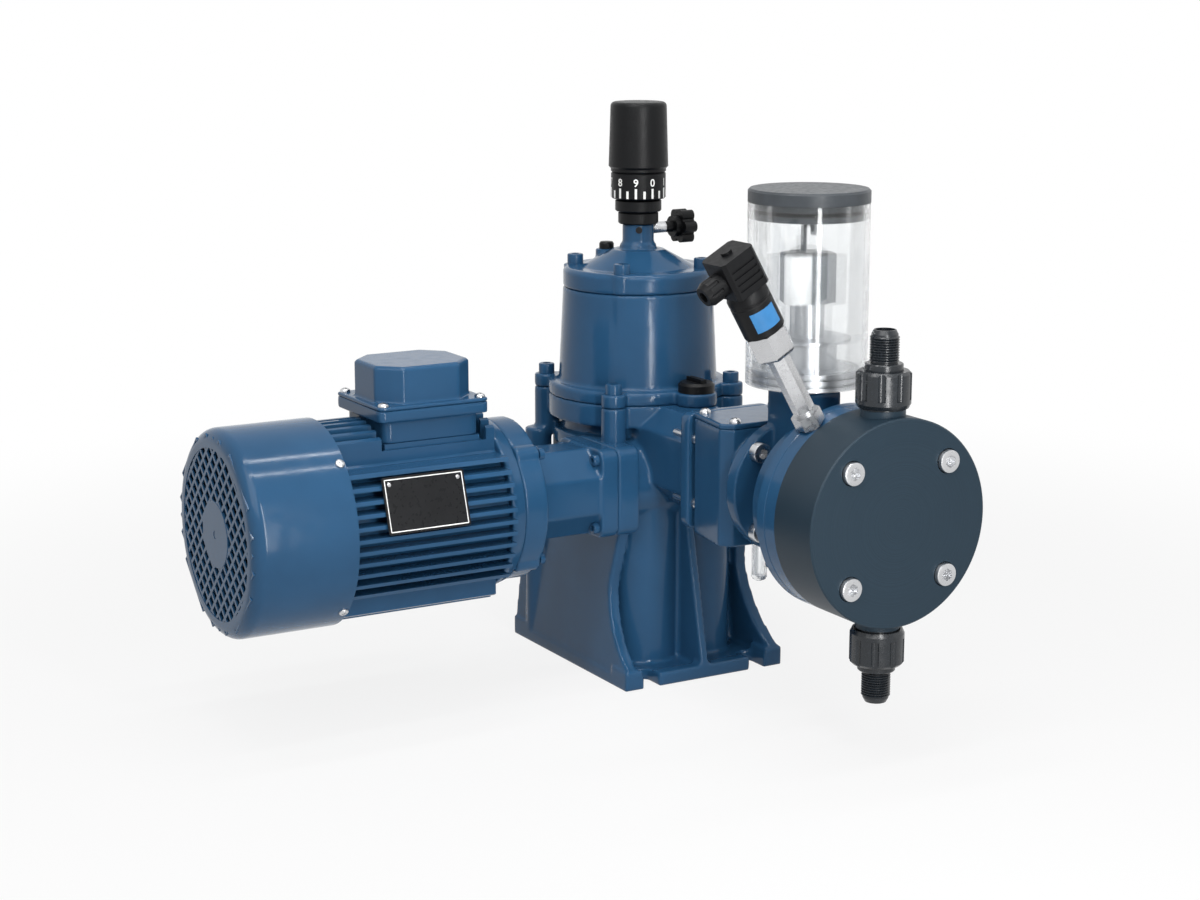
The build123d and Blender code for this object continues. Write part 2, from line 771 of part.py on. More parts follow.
def worm_shaft():
    reach = worm_bearing_offset + worm_bearing_width + 2
    core = worm_pitch_radius - dedendum
    solid = rod(worm_line, core, 2 * worm_bearing_offset, -worm_bearing_offset)
    solid += rod(worm_line, worm_journal_radius, worm_bearing_width + 2, -reach)
    solid += rod(worm_line, worm_journal_radius, worm_bearing_width + 2, worm_bearing_offset)
    solid += rod(worm_line, motor_shaft_end_radius + 6, shaft_end - reach + 14, reach)
    solid -= rod(worm_line, motor_shaft_end_radius, 40, shaft_end - 12)
    start = -lead * worm_turns / 2
    base = Plane((centre_distance, start, worm_height), x_dir=(-1, 0, 0), z_dir=(0, 1, 0))
    helix = Helix(lead, lead * worm_turns, worm_pitch_radius)
    inner, outer = -dedendum - 0.5, addendum
    profile = Polyline((worm_pitch_radius + inner, 0, -tooth_half_width(inner)),
                       (worm_pitch_radius + outer, 0, -tooth_half_width(outer)),
                       (worm_pitch_radius + outer, 0, tooth_half_width(outer)),
                       (worm_pitch_radius + inner, 0, tooth_half_width(inner)), close=True)
    thread = sweep(make_face(profile), path=helix, is_frenet=True)
    return solid + base * thread


save("worm_wheel", worm_wheel())
save("worm_shaft", worm_shaft())


# ---------------------------------------------------------------- plunger and hydraulic box
box_start = front_flange_x + box_gap
box_end = box_start + box_length
box_bottom = plunger_height - box_height / 2 - 2
boss_face = box_end + 2 * ring_step_length


def plunger():
    """The crosshead's yoke stands round the eccentric sleeve and carries the plunger."""
    room_x = ring_radius + stroke + free_gap
    room_y = ring_radius + stroke / 2 + free_gap
    outer_x, outer_y = room_x + yoke_wall, room_y + yoke_wall
    middle = Plane((0, 0, plunger_height - ring_height / 2 + 1))
    yoke = rounded_bar(middle, 2 * outer_x, 2 * outer_y, 14, ring_height - 2)
    yoke -= rounded_bar(middle, 2 * room_x, 2 * room_y, 8, ring_height)
    shaft = rod(pump_line, rod_radius, rod_end - outer_x + 2, outer_x - 2)
    shaft &= Pos(outer_x - 2, 0, 0) * Box(400, 100, 600, align=(Align.MIN, Align.CENTER, Align.MIN))
    front = turn(pump_line, (0, rod_end), (rod_radius, rod_end), (plunger_radius, rod_end + 4),
                 (plunger_radius, plunger_end - 1), (plunger_radius - 1, plunger_end), (0, plunger_end))
    return yoke + shaft + front


def plunger_seal():
    return ring(pump_line, seal_radius, plunger_radius + running_gap, seal_length, boss_face - seal_length)


def hydraulic_box():
    half_back, half_front = box_back_width / 2, box_front_width / 2
    corner = box_end - box_chamfer
    outline = Polyline((box_start, -half_back), (corner, -half_front), (box_end, -half_front + box_chamfer),
                       (box_end, half_front - box_chamfer), (corner, half_front), (box_start, half_back),
                       close=True)
    inside = offset(make_face(outline), -box_wall)
    solid = Pos(0, 0, box_bottom) * extrude(make_face(outline), amount=box_height)
    solid += rounded_bar(facing_x(front_flange_x, 0, plunger_height), box_neck_width, box_neck_height, 10,
                         box_gap)
    solid += rod(pump_line, ring_step_1, ring_step_length, box_end)
    solid += rod(pump_line, ring_step_2, ring_step_length, box_end + ring_step_length)
    solid -= Pos(0, 0, box_bottom + box_wall) * extrude(inside, amount=box_height)
    solid -= rod(pump_line, rod_radius + 6, 20, front_flange_x - 1)
    solid -= rod(pump_line, seal_radius, seal_length + 12, boss_face - seal_length)
    solid -= rod(pump_line, plunger_radius + bore_gap, 40, box_end - box_wall - 1)
    body = Pos(0, 0, box_bottom) * extrude(make_face(outline), amount=box_height)
    for x, y in lid_screw_places():
        solid += rod(Plane((x, y, box_bottom)), small_screw_radius + 3, box_height) & body
        solid -= rod(Plane((x, y, box_bottom + box_height)), small_screw_radius + screw_gap, 14, -14)
    solid -= rod(Plane((drain_x, 0, box_bottom)), drain_radius - 2, box_wall + 2, -1)
    return solid


def lid_screw_places():
    inset = small_screw_head_radius + 1.5
    back, front = box_start + inset, box_end - inset
    corners = ((back, box_back_width / 2 - inset), (front, box_front_width / 2 - box_chamfer - inset + 1.5))
    return [(x, side * y) for side in (-1, 1) for x, y in corners]


def hydraulic_box_lid():
    half_back, half_front = box_back_width / 2, box_front_width / 2
    corner = box_end - box_chamfer
    outline = Polyline((box_start, -half_back), (corner, -half_front), (box_end, -half_front + box_chamfer),
                       (box_end, half_front - box_chamfer), (corner, half_front), (box_start, half_back),
                       close=True)
    top = box_bottom + box_height
    solid = Pos(0, 0, top) * extrude(make_face(outline), amount=box_lid)
    for x, y in lid_screw_places():
        solid -= rod(Plane((x, y, top - 1)), small_screw_radius + screw_gap, box_lid + 2)
    return solid


def box_lid_screws():
    top = box_bottom + box_height + box_lid
    return [cap_screw(Plane((x, y, top)), small_screw_radius, small_screw_head_radius, small_screw_head, 12)
            for x, y in lid_screw_places()]


def drain_tube():
    seat = Plane((drain_x, 0, box_bottom), x_dir=(1, 0, 0), z_dir=(0, 0, -1))
    end = drain_length
    return turn(seat, (drain_radius - 2, 0), (drain_radius, 0), (drain_radius, end - 3),
                (drain_radius - 1, end - 1),
                (drain_radius - 3, end), (0, end), (0, end - 2), (drain_radius - 2, end - 4))


save("plunger", plunger())
save("plunger_seal", plunger_seal())
save("hydraulic_box", hydraulic_box())
save("box_lid", hydraulic_box_lid())
save("box_lid_screws", *box_lid_screws())
save("drain_tube", drain_tube())


# ---------------------------------------------------------------- manifold, carrier, diaphragm and head
block_start = boss_face + block_flange - 9
block_end = block_start + block_length
carrier_start = block_end + chamber_length
head_start = carrier_start + carrier_thickness
head_end = head_start + head_thickness
reservoir_x = block_start + block_length / 2 + 2
chamber_bore = diaphragm_radius - 8
sensor_x = carrier_start + carrier_thickness / 2
tilt = math.radians(sensor_angle)
sensor_line = Plane((sensor_x, -head_radius * math.sin(tilt), plunger_height + head_radius * math.cos(tilt)),
                    x_dir=(1, 0, 0), z_dir=(0, -math.sin(tilt), math.cos(tilt)))


def manifold_block():
    solid = block(Plane((block_start + block_length / 2, 0, block_bottom)), block_length, block_width,
                  block_top - block_bottom)
    solid += rod(pump_line, block_flange_radius, block_flange, boss_face)
    solid -= rod(pump_line, plunger_radius + bore_gap, block_length + 40, boss_face - 1)
    solid -= rod(Plane((reservoir_x, 0, plunger_height)), 5, 100)
    for angle in DIAGONALS:
        solid -= rod(polar(pump_line, block_screw_pitch, angle), block_screw_radius + screw_gap,
                     block_flange + 2,
                     boss_face - 1)
    return solid


def manifold_screws():
    screws = []
    for angle in DIAGONALS:
        seat = polar(facing_x(boss_face + block_flange, 0, plunger_height), block_screw_pitch, angle)
        washer = ring(seat, block_screw_head_radius + 1.5, block_screw_radius, washer_thickness)
        raised = seat * Pos(0, 0, washer_thickness)
        screws.append(cap_screw(raised, block_screw_radius, block_screw_head_radius, block_screw_head,
                                block_flange + washer_thickness) + washer)
    return screws


def diaphragm_carrier():
    """The dark chamber cylinder and the blue disc that clamps the diaphragm to the head."""
    step = carrier_start + carrier_step
    solid = turn(pump_line, (0, block_end), (chamber_radius, block_end), (chamber_radius, carrier_start),
                 (head_radius, carrier_start), (head_radius, step - 0.6), (head_radius - 0.8, step),
                 (head_radius, step + 0.6), (head_radius, head_start), (0, head_start))
    solid -= rod(pump_line, plunger_radius + bore_gap, chamber_length + 2, block_end - 1)
    solid -= turn(pump_line, (0, head_start - 8), (chamber_bore - 8, head_start - 8),
                  (chamber_bore, head_start - 1),
                  (chamber_bore, head_start + 1), (0, head_start + 1))
    solid -= rod(pump_line, diaphragm_radius, diaphragm_thickness, head_start - diaphragm_thickness / 2)
    for y, z in head_screw_places():
        solid -= rod(pump_line * Pos(y, z, 0), head_screw_radius + screw_gap, 14, head_start - 13)
    return solid - rod(sensor_line, stem_nut_flats * 0.6, 8, -sensor_seat)


def head_screw_places():
    return [(y * head_screw_offset, z * head_screw_offset) for y in (-1, 1) for z in (-1, 1)]


def diaphragm():
    back, front = head_start - diaphragm_thickness / 2, head_start + diaphragm_thickness / 2
    rim = diaphragm_radius
    mid = rim - 6
    return turn(pump_line, (0, back), (rim, back), (rim, front), (mid, front), (mid - 6, front - 0.8),
                (16, front - 0.8), (12, front), (0, front))


def pump_head():
    solid = turn(pump_line, (0, head_start), (head_radius, head_start), (head_radius, head_end - 1),
                 (head_radius - 1, head_end), (0, head_end))
    middle = (head_start + head_end) / 2
    solid -= turn(pump_line, (0, head_start - 1), (diaphragm_radius, head_start - 1),
                  (diaphragm_radius, head_start + diaphragm_thickness / 2), (chamber_bore, head_start + 1.5),
                  (chamber_bore - 8, head_start + 9), (0, head_start + 9))
    for up in (-1, 1):
        line = Plane((middle, 0, plunger_height), x_dir=(1, 0, 0), z_dir=(0, 0, up))
        solid += rod(line, valve_neck_radius, 30, head_radius - 26)
        solid -= rod(line, valve_bore, 60, valve_seat_depth)
        solid -= rod(line, seat_radius, valve_seat_depth, 8)
    solid -= rod(facing_x(head_start - 1, 0, plunger_height), seat_radius, middle - head_start + 1)
    solid -= rod(Plane((middle, 0, plunger_height - 20)), seat_radius, 40)
    for y, z in head_screw_places():
        place = pump_line * Pos(y, z, 0)
        solid -= rod(place, head_screw_radius + screw_gap, head_thickness + 2, head_start - 1)
        solid -= rod(place, head_recess_radius, head_recess + 1, head_end - head_recess)
    return solid


def head_screws():
    screws = []
    for y, z in head_screw_places():
        seat = facing_x(head_end - head_recess, y, plunger_height + z)
        washer = ring(seat, head_recess_radius - 0.6, head_screw_radius, washer_thickness)
        raised = seat * Pos(0, 0, washer_thickness)
        shank = head_thickness - head_recess + washer_thickness + 12
        screws.append(cap_screw(raised, head_screw_radius, head_screw_head_radius, 9, shank) + washer)
    return screws


valve_seat_depth = head_radius - 20
neck_end = head_radius + valve_neck
nut_start = neck_end + 1
nut_end = nut_start + nut_length
nipple_start = nut_end + collar_length
nipple_end = nipple_start + nipple_length
ball_gap = 0.3
ball_rise = math.sqrt((ball_radius + ball_gap) ** 2 - seat_radius ** 2)   # ball's centre above its seat
cage_depth = valve_seat_depth + ball_rise + ball_radius + ball_lift + ball_gap


def valve_line(up):
    return Plane(((head_start + head_end) / 2, 0, plunger_height), x_dir=(1, 0, 0), z_dir=(0, 0, up))


def valve_nipple(up):
    """A threaded nipple on a collar, held by the union nut; its foot reaches into the head.

    The discharge nipple's foot stops the ball's lift, and the suction nipple's foot is the ball's seat."""
    bore = seat_radius if up < 0 else nipple_bore
    foot_radius = valve_bore - screw_gap
    flange = neck_end + 3
    return turn(valve_line(up), (bore, cage_depth), (foot_radius, cage_depth), (foot_radius, neck_end),
                (valve_neck_radius - 0.5, neck_end), (valve_neck_radius - 0.5, flange),
                (collar_radius, flange + 2),
                (collar_radius, nipple_start), (nipple_radius, nipple_start),
                (nipple_radius, nipple_end - 1),
                (nipple_radius - 1, nipple_end), (nipple_bore, nipple_end), (nipple_bore, cage_depth + 6),
                (bore, cage_depth + 5))


def valve_ball(up):
    height = valve_seat_depth + ball_rise if up > 0 else cage_depth - ball_rise
    return valve_line(up) * Pos(0, 0, height) * Sphere(ball_radius)


def union_nut(up):
    line = valve_line(up)
    bore = valve_neck_radius + 0.4
    shoulder = neck_end + 6
    body = turn(line, (bore, nut_start), (nut_radius - 1.5, nut_start), (nut_radius, nut_start + 3),
                (nut_radius, nut_end - 2), (nut_radius - 2, nut_end), (collar_radius + 0.2, nut_end),
                (collar_radius + 0.2, shoulder), (bore, shoulder))
    for i in range(nut_ribs):
        body -= rod(polar(line, nut_radius + 1.6, 360 * i / nut_ribs), 3.2, nut_length - 6, nut_start + 6)
    return body


save("manifold_block", manifold_block())
save("manifold_screws", *manifold_screws())
save("diaphragm_carrier", diaphragm_carrier())
save("diaphragm", diaphragm())
save("pump_head", pump_head())
save("head_screws", *head_screws())
for label, up in (("discharge", 1), ("suction", -1)):
    save(f"{label}_nipple", valve_nipple(up))
    save(f"{label}_ball", valve_ball(up))
    save(f"{label}_union_nut", union_nut(up))


# ---------------------------------------------------------------- reservoir
reservoir_line = Plane((reservoir_x, 0, 0))
plug_top = reservoir_low + base_plug_height


def reservoir_base():
    """The grooved foot that plugs the clear tube, with the stem that screws into the manifold."""
    inner = reservoir_radius - reservoir_wall
    groove = inner - 3
    points = [(4, block_top - 8), (5 - screw_gap, block_top - 8), (5 - screw_gap, block_top), (9, block_top),
              (9, reservoir_low), (inner, reservoir_low)]
    for i in range(2):
        low = reservoir_low + 2.5 + 5 * i
        points += [(inner, low), (groove, low), (groove, low + 2), (inner, low + 2)]
    points += [(inner, plug_top), (inner / 2 + 2, plug_top), (inner / 2 + 2, plug_top + 18),
               (pipe_radius, plug_top + 18),
               (pipe_radius, relief_low), (4, relief_low)]
    solid = turn(reservoir_line, *points)
    disc = ring(reservoir_line, reservoir_radius * 0.72, pipe_radius, 2, plug_top + 20)
    return solid + disc


relief_low = reservoir_low + 60
relief_height = 35.0
relief_hook = 22.0


def relief_valve():
    """The bleed and relief valve that stands in the reservoir, with its return tube."""
    body = prism(reservoir_line, relief_body_width, relief_height, relief_low, sides=8)
    front = Plane((reservoir_x + 8, -13.5, relief_low))
    tube = rod(front, relief_tube_radius, relief_height)
    top = relief_low + relief_height
    path = FilletPolyline((reservoir_x - 6, 0, top - 2), (reservoir_x - 6, 0, top + relief_hook),
                          (reservoir_x + 6, 0, top + relief_hook),
                          (reservoir_x + 6, 0, top + relief_hook - 8), radius=4)
    hook = sweep(Plane((reservoir_x - 6, 0, top - 2)) * Circle(2.2), path=path)
    return body + tube + hook


def reservoir_tube():
    return ring(reservoir_line, reservoir_radius, reservoir_radius - reservoir_wall,
                reservoir_high - reservoir_low,
                reservoir_low)


def reservoir_lid():
    bore = reservoir_radius - reservoir_wall
    spigot = bore - 0.6
    top = reservoir_high + reservoir_lid_height
    low = reservoir_high - lid_spigot
    groove = reservoir_high - 6
    return turn(reservoir_line, (0, low + 4), (spigot - 4, low + 4), (spigot - 4, low), (spigot, low),
                (spigot, groove - 1.5),
                (spigot - 2, groove - 1.5), (spigot - 2, groove + 1.5), (spigot, groove + 1.5),
                (spigot, reservoir_high),
                (reservoir_radius, reservoir_high), (reservoir_radius, top - 1.5),
                (reservoir_radius - 1.5, top), (0, top))


def reservoir_seal():
    """The lid's rubber ring; it rides in the lid's groove."""
    bore = reservoir_radius - reservoir_wall
    outer = bore - running_gap
    groove = reservoir_high - 6
    return ring(reservoir_line, outer, bore - 2.6, 3, groove - 1.5)


save("reservoir_base", reservoir_base())
save("relief_valve", relief_valve())
save("reservoir_tube", reservoir_tube())
save("reservoir_lid", reservoir_lid())
save("reservoir_seal", reservoir_seal())


# ---------------------------------------------------------------- rupture sensor
switch_start = stem_length
body_start = switch_start + switch_nut
plug_start = body_start + switch_length


def sensor_stem():
    solid = rod(sensor_line, 7, 4, -sensor_seat)
    solid += prism(sensor_line, stem_nut_flats, stem_nut - 2, 1)
    solid += rod(sensor_line, stem_flats / 2 - 1, 3, stem_nut - 1)
    solid += prism(sensor_line, stem_flats, stem_length - stem_nut - 2, stem_nut + 2)
    return solid


def pressure_switch():
    flats = switch_flats / 2
    corner = flats / math.cos(math.pi / 6)
    solid = prism(sensor_line, switch_flats, switch_nut, switch_start)
    solid &= turn(sensor_line, (0, switch_start), (flats, switch_start), (corner + 0.1, switch_start + 2),
                  (corner + 0.1, body_start), (0, body_start))
    solid += turn(sensor_line, (0, body_start), (switch_radius - 1, body_start),
                  (switch_radius, body_start + 1),
                  (switch_radius, plug_start - 4), (switch_radius - 2, plug_start), (0, plug_start))
    return solid


def sensor_plug():
    """The square cable plug; its gland points along the head's rim, back toward the motor."""
    solid = block(sensor_line, plug_size, plug_size, plug_length, plug_start)
    top = sensor_line * Pos(0, 0, plug_start + plug_length)
    solid = chamfer(solid.edges().group_by(SortBy.LENGTH)[-1], 2.5)
    for i in range(4):
        groove = sensor_line * Pos(plug_size / 2, 0, plug_start + 6 + 5 * i)
        solid -= groove * Box(2, plug_size - 8, 2)
        groove = sensor_line * Pos(-plug_size / 2, 0, plug_start + 6 + 5 * i)
        solid -= groove * Box(2, plug_size - 8, 2)
    solid += rod(top, 4, 2)
    side = Plane(origin=(sensor_line * Pos(0, -plug_size / 2, plug_start + plug_length * 0.45)).position,
                 x_dir=(1, 0, 0), z_dir=-sensor_line.y_dir)
    return solid, side


def sensor_gland(side):
    cone = turn(side, (gland_bore, 0), (gland_radius, 0), (gland_radius, gland_length - 4),
                (gland_radius - 2, gland_length), (gland_bore, gland_length))
    for i in range(8):
        cone -= rod(polar(side, gland_radius + 0.6, 45 * i), 1.6, gland_length, 4)
    return cone


plug_body, gland_side = sensor_plug()
save("sensor_stem", sensor_stem())
save("pressure_switch", pressure_switch())
save("sensor_plug", plug_body)
save("sensor_gland", sensor_gland(gland_side))


# ---------------------------------------------------------------- motor
motor_line = facing_motor(centre_distance, 0, worm_height)
disc_start = adapter_cone_end
shield_start = disc_start + adapter_disc
frame_start = shield_start + shield_thickness
frame_end = frame_start + frame_length
rear_start = frame_end
cover_start = frame_end
cover_end = cover_start + cover_length
cover_inner = cover_radius - cover_wall


def motor_adapter():
    tail_end = boss_end + adapter_tail
    solid = turn(motor_line, (0, boss_end), (adapter_tail_radius, boss_end),
                 (adapter_tail_radius, tail_end + 6),
                 (adapter_cone_radius, adapter_cone_end), (adapter_disc_radius, adapter_cone_end + 3),
                 (adapter_disc_radius, shield_start), (0, shield_start))
    for angle in DIAGONALS:
        solid += rod(polar(motor_line, lobe_pitch, angle), lobe_radius, adapter_tail, boss_end)
        solid += rod(polar(motor_line, adapter_disc_radius - 5, angle), 8, adapter_disc, disc_start)
    inner = adapter_tail_radius - adapter_wall
    solid -= turn(motor_line, (0, boss_end - 1), (inner, boss_end - 1), (inner, tail_end),
                  (adapter_cone_radius - adapter_wall, disc_start + 4), (frame_bore - 8, disc_start + 8),
                  (frame_bore - 8, shield_start + 1), (0, shield_start + 1))
    for angle in DIAGONALS:
        solid -= rod(polar(motor_line, lobe_pitch, angle), flange_screw_radius + screw_gap, adapter_tail + 2,
                     boss_end - 1)
        solid -= rod(polar(motor_line, adapter_disc_radius - 5, angle), flange_screw_radius + screw_gap,
                     adapter_disc + 2, disc_start - 1)
    return solid


def flange_screws():
    """The screws of the casing's front flange, of the adapter's tail and of its disc."""
    screws = []
    for y in (-1, 1):
        for z in (-1, 1):
            seat = facing_x(front_flange_x, y * front_screw_width / 2,
                            plunger_height + z * front_screw_height / 2)
            screws.append(flange_screw(seat, 16))
    for angle in DIAGONALS:
        low = polar(motor_line * Pos(0, 0, boss_end + adapter_tail), lobe_pitch, angle)
        screws.append(flange_screw(low, adapter_tail + 12))
        back = motor_line * Pos(0, 0, disc_start) * Rot(180, 0, 0)
        screws.append(flange_screw(polar(back, adapter_disc_radius - 5, angle), adapter_disc + 8))
    return screws


def flange_screw(seat, shank):
    return cap_screw(seat, flange_screw_radius, flange_screw_head_radius, flange_screw_head, shank)


def drive_end_shield():
    end = frame_start
    solid = turn(motor_line, (0, shield_start), (adapter_disc_radius + 1, shield_start),
                 (frame_radius + 6, end - 3),
                 (frame_radius + 6, end), (frame_bore, end), (frame_bore, end + 4),
                 (frame_bore - 5, end + 4),
                 (frame_bore - 8, end - 6), (motor_bearing_radius + 5, end - 6),
                 (motor_bearing_radius + 5, shield_start + motor_bearing_width + 4),
                 (0, shield_start + motor_bearing_width + 4))
    solid -= rod(motor_line, motor_bearing_radius, 40, shield_start + 4)
    solid -= rod(motor_line, motor_shaft_radius + 2, 40, shield_start - 1)
    for angle in DIAGONALS:
        solid -= rod(polar(motor_line, adapter_disc_radius - 5, angle), flange_screw_radius + screw_gap, 12,
                     shield_start - 1)
    return solid


def rear_end_shield():
    start = rear_start
    width = motor_bearing_width
    solid = turn(motor_line, (0, start - 6), (motor_bearing_radius + 5, start - 6),
                 (motor_bearing_radius + 5, start),
                 (frame_bore - 6, start), (frame_bore - 6, start - 4), (frame_bore, start - 4),
                 (frame_bore, start),
                 (cover_inner, start), (cover_inner, start + 8), (motor_bearing_radius + 8, start + 8),
                 (motor_bearing_radius + 6, start + width), (0, start + width))
    solid -= rod(motor_line, motor_bearing_radius, width, start - 7)
    solid -= rod(motor_line, motor_shaft_radius + 1, 60, start - 20)
    return solid


def motor_bearings():
    bore = motor_shaft_radius + running_gap
    return [ring(motor_line, motor_bearing_radius, bore, motor_bearing_width, shield_start + 4),
            ring(motor_line, motor_bearing_radius, bore, motor_bearing_width, rear_start - 7)]


def motor_frame():
    """The finned cylinder: level fins on both sides, upright fins above and below."""
    fins = Sketch()
    for i in range(-fins_each_way, fins_each_way + 1):
        fins += Pos(0, i * fin_pitch) * Rectangle(2 * fin_radius, fin_thickness)
        if abs(i) < fins_each_way:
            fins += Pos(i * fin_pitch, 0) * Rectangle(fin_thickness, 2 * fin_radius)
    section = (fins & Circle(fin_radius)) + Circle(frame_radius)
    solid = motor_line * Pos(0, 0, frame_start) * extrude(section, amount=frame_length)
    pad_x, pad_y = terminal_rim_x - 12, terminal_rim_y - 12
    pad = Plane((centre_distance, terminal_y, worm_height))
    solid -= block(pad, pad_x + 8, pad_y + 8, 60, terminal_seat - worm_height - 4)
    solid += block(pad, pad_x, pad_y, terminal_seat - worm_height)
    solid -= rod(motor_line, frame_bore, frame_length + 2, frame_start - 1)
    solid -= rod(pad, 12, 80)
    return solid


def stator_core():
    middle = frame_start + frame_length / 2
    low, high = middle - rotor_length / 2, middle + rotor_length / 2
    bore = rotor_radius + air_gap
    return turn(motor_line, (bore, low), (bore + 3, low), (bore + 3, low - 14), (bore + 14, low - 14),
                (bore + 16, low),
                (frame_bore, low), (frame_bore, high), (bore + 16, high), (bore + 14, high + 14),
                (bore + 3, high + 14),
                (bore + 3, high), (bore, high))


def rotor_core():
    middle = frame_start + frame_length / 2
    low, high = middle - rotor_length / 2, middle + rotor_length / 2
    inner = rotor_radius - 10
    return turn(motor_line, (motor_shaft_radius, low), (inner, low), (inner, low - 8),
                (rotor_radius - 2, low - 8),
                (rotor_radius, low), (rotor_radius, high), (rotor_radius - 2, high + 8), (inner, high + 8),
                (inner, high), (motor_shaft_radius, high))


def rotor_shaft():
    end = cover_start + 50
    return turn(motor_line, (0, shaft_end), (motor_shaft_end_radius - 1, shaft_end),
                (motor_shaft_end_radius, shaft_end + 1),
                (motor_shaft_end_radius, shield_start), (motor_shaft_radius, shield_start),
                (motor_shaft_radius, end - 1), (motor_shaft_radius - 1, end), (0, end))


def cooling_fan():
    start = cover_start + 22
    hub = ring(motor_line, motor_shaft_radius + 8, motor_shaft_radius, fan_width, start)
    back = ring(motor_line, fan_radius, motor_shaft_radius, 2.5, start)
    solid = hub + back
    for i in range(fan_blades):
        blade = Pos(fan_radius / 2 + motor_shaft_radius / 2 + 3, 0, start + 1) * Box(
            fan_radius - motor_shaft_radius - 6, 3, fan_width - 1, align=UPRIGHT)
        solid += motor_line * Rot(0, 0, 360 * i / fan_blades) * blade
    return solid


def grille_places():
    """Centres and lean of the grille's slots: rows of slots that lean left and right in turn."""
    places = []
    rows = int(grille_radius / grille_pitch) + 1
    for row in range(-rows, rows + 1):
        for column in range(-rows, rows + 1):
            x = column * grille_pitch
            y = row * grille_pitch
            reach = math.hypot(x, y)
            if grille_pitch * 1.2 < reach < grille_radius - grille_slot_width:
                places.append((x, y, 45 if (row + column) % 2 else -45))
    return places


def fan_cover():
    end = cover_end
    edge = cover_edge
    outer = [(cover_radius, cover_start), (cover_radius, end - edge),
             (cover_radius - edge * 0.3, end - edge * 0.3),
             (cover_radius - edge, end), (0, end)]
    inner = [(0, end - cover_wall), (cover_inner - edge, end - cover_wall),
             (cover_inner - edge * 0.3, end - cover_wall - edge * 0.3),
             (cover_inner, end - cover_wall - edge),
             (cover_inner, cover_start)]
    solid = turn(motor_line, *(outer + inner))
    holes = Sketch()
    half = (grille_slot_length - grille_slot_width) / 2
    outline = Polyline((-half - grille_slot_width / 2, 0), (-half, grille_slot_width / 2),
                       (half, grille_slot_width / 2),
                       (half + grille_slot_width / 2, 0), (half, -grille_slot_width / 2),
                       (-half, -grille_slot_width / 2),
                       close=True)
    for x, y, angle in grille_places():
        holes += Pos(x, y) * Rot(0, 0, angle) * make_face(outline)
    solid -= motor_line * Pos(0, 0, end - cover_wall - 1) * extrude(holes, amount=cover_wall + 2)
    for angle in DIAGONALS:
        solid -= side_screw_frame(angle) * Cylinder(small_screw_radius + screw_gap, 2 * cover_wall + 2)
    return solid


def side_screw_frame(angle):
    """A frame on the fan cover's side, over the rim of the rear shield, facing outward."""
    turned = math.radians(angle)
    out = (math.cos(turned), 0, math.sin(turned))
    place = (centre_distance + cover_radius * out[0], -(cover_start + 4),
             worm_height + cover_radius * out[2])
    return Plane(place, x_dir=(0, 1, 0), z_dir=out)


def fan_cover_screws():
    return [cap_screw(side_screw_frame(angle), small_screw_radius, small_screw_head_radius - 0.8, 2.2,
                      cover_wall)
            for angle in DIAGONALS]


save("motor_adapter", motor_adapter())
save("flange_screws", *flange_screws())
save("drive_end_shield", drive_end_shield())
save("rear_end_shield", rear_end_shield())
save("motor_bearings", *motor_bearings())
save("motor_frame", motor_frame())
save("stator_core", stator_core())
save("rotor_core", rotor_core())
save("rotor_shaft", rotor_shaft())
save("cooling_fan", cooling_fan())
save("fan_cover", fan_cover())
save("fan_cover_screws", *fan_cover_screws())


# ---------------------------------------------------------------- terminal box
terminal_line = Plane((centre_distance, terminal_y, terminal_seat))
rim_top = terminal_foot + terminal_rim


def terminal_box():
    foot = rounded_bar(terminal_line, terminal_rim_x - 12, terminal_rim_y - 12, 6, terminal_foot)
    solid = foot + rounded_bar(terminal_line, terminal_rim_x, terminal_rim_y, 5, terminal_rim, terminal_foot)
    solid -= rounded_bar(terminal_line, terminal_rim_x - 20, terminal_rim_y - 20, 4, 60, 4)
    solid -= rod(terminal_line, 12, 10, -1)
    for x, y in terminal_screw_places():
        solid -= rod(terminal_line * Pos(x, y, 0), small_screw_radius + screw_gap, 20, rim_top - 10)
    return solid


def terminal_screw_places():
    x, y = terminal_rim_x / 2 - 5.5, terminal_rim_y / 2 - 5.5
    return [(i * x, j * y) for i in (-1, 1) for j in (-1, 1)]


def terminal_lid_body():
    outer = chamfered_bar(terminal_line, terminal_lid_x, terminal_lid_y, terminal_chamfer, terminal_lid,
                          rim_top)
    top_face = outer.faces().sort_by(Axis.Z)[-1]
    solid = chamfer(top_face.edges(), 2)
    solid += rounded_bar(terminal_line, terminal_rim_x, terminal_rim_y, 5, 3, rim_top)
    solid -= chamfered_bar(terminal_line, terminal_lid_x - 5, terminal_lid_y - 5, terminal_chamfer - 2,
                           terminal_lid - 3, rim_top - 0.5)
    gland_y = terminal_rim_y * 0.05
    line = Plane((centre_distance - terminal_lid_x / 2, terminal_y + gland_y,
                  terminal_seat + rim_top + terminal_lid / 2),
                 x_dir=(0, 1, 0), z_dir=(-1, 0, 0))
    solid -= rod(line, terminal_gland_radius - 4, 10, -5)
    for x, y in terminal_screw_places():
        solid -= rod(terminal_line * Pos(x, y, 0), small_screw_radius + screw_gap, 6, rim_top - 1)
    return solid, line


def terminal_screws():
    return [cap_screw(terminal_line * Pos(x, y, rim_top + 3), small_screw_radius,
                      small_screw_head_radius - 0.4, 3, 11)
            for x, y in terminal_screw_places()]


def terminal_gland_body(line):
    radius = terminal_gland_radius
    solid = prism(line, 2 * radius - 2, 5, 0)
    solid += turn(line, (0, 5), (radius - 2, 5), (radius - 2, terminal_gland - 3),
                  (radius - 5, terminal_gland),
                  (0, terminal_gland))
    solid += rod(line, radius - 4 - screw_gap, 4, -4)
    return solid - rod(line, radius - 8, terminal_gland + 10, -6)


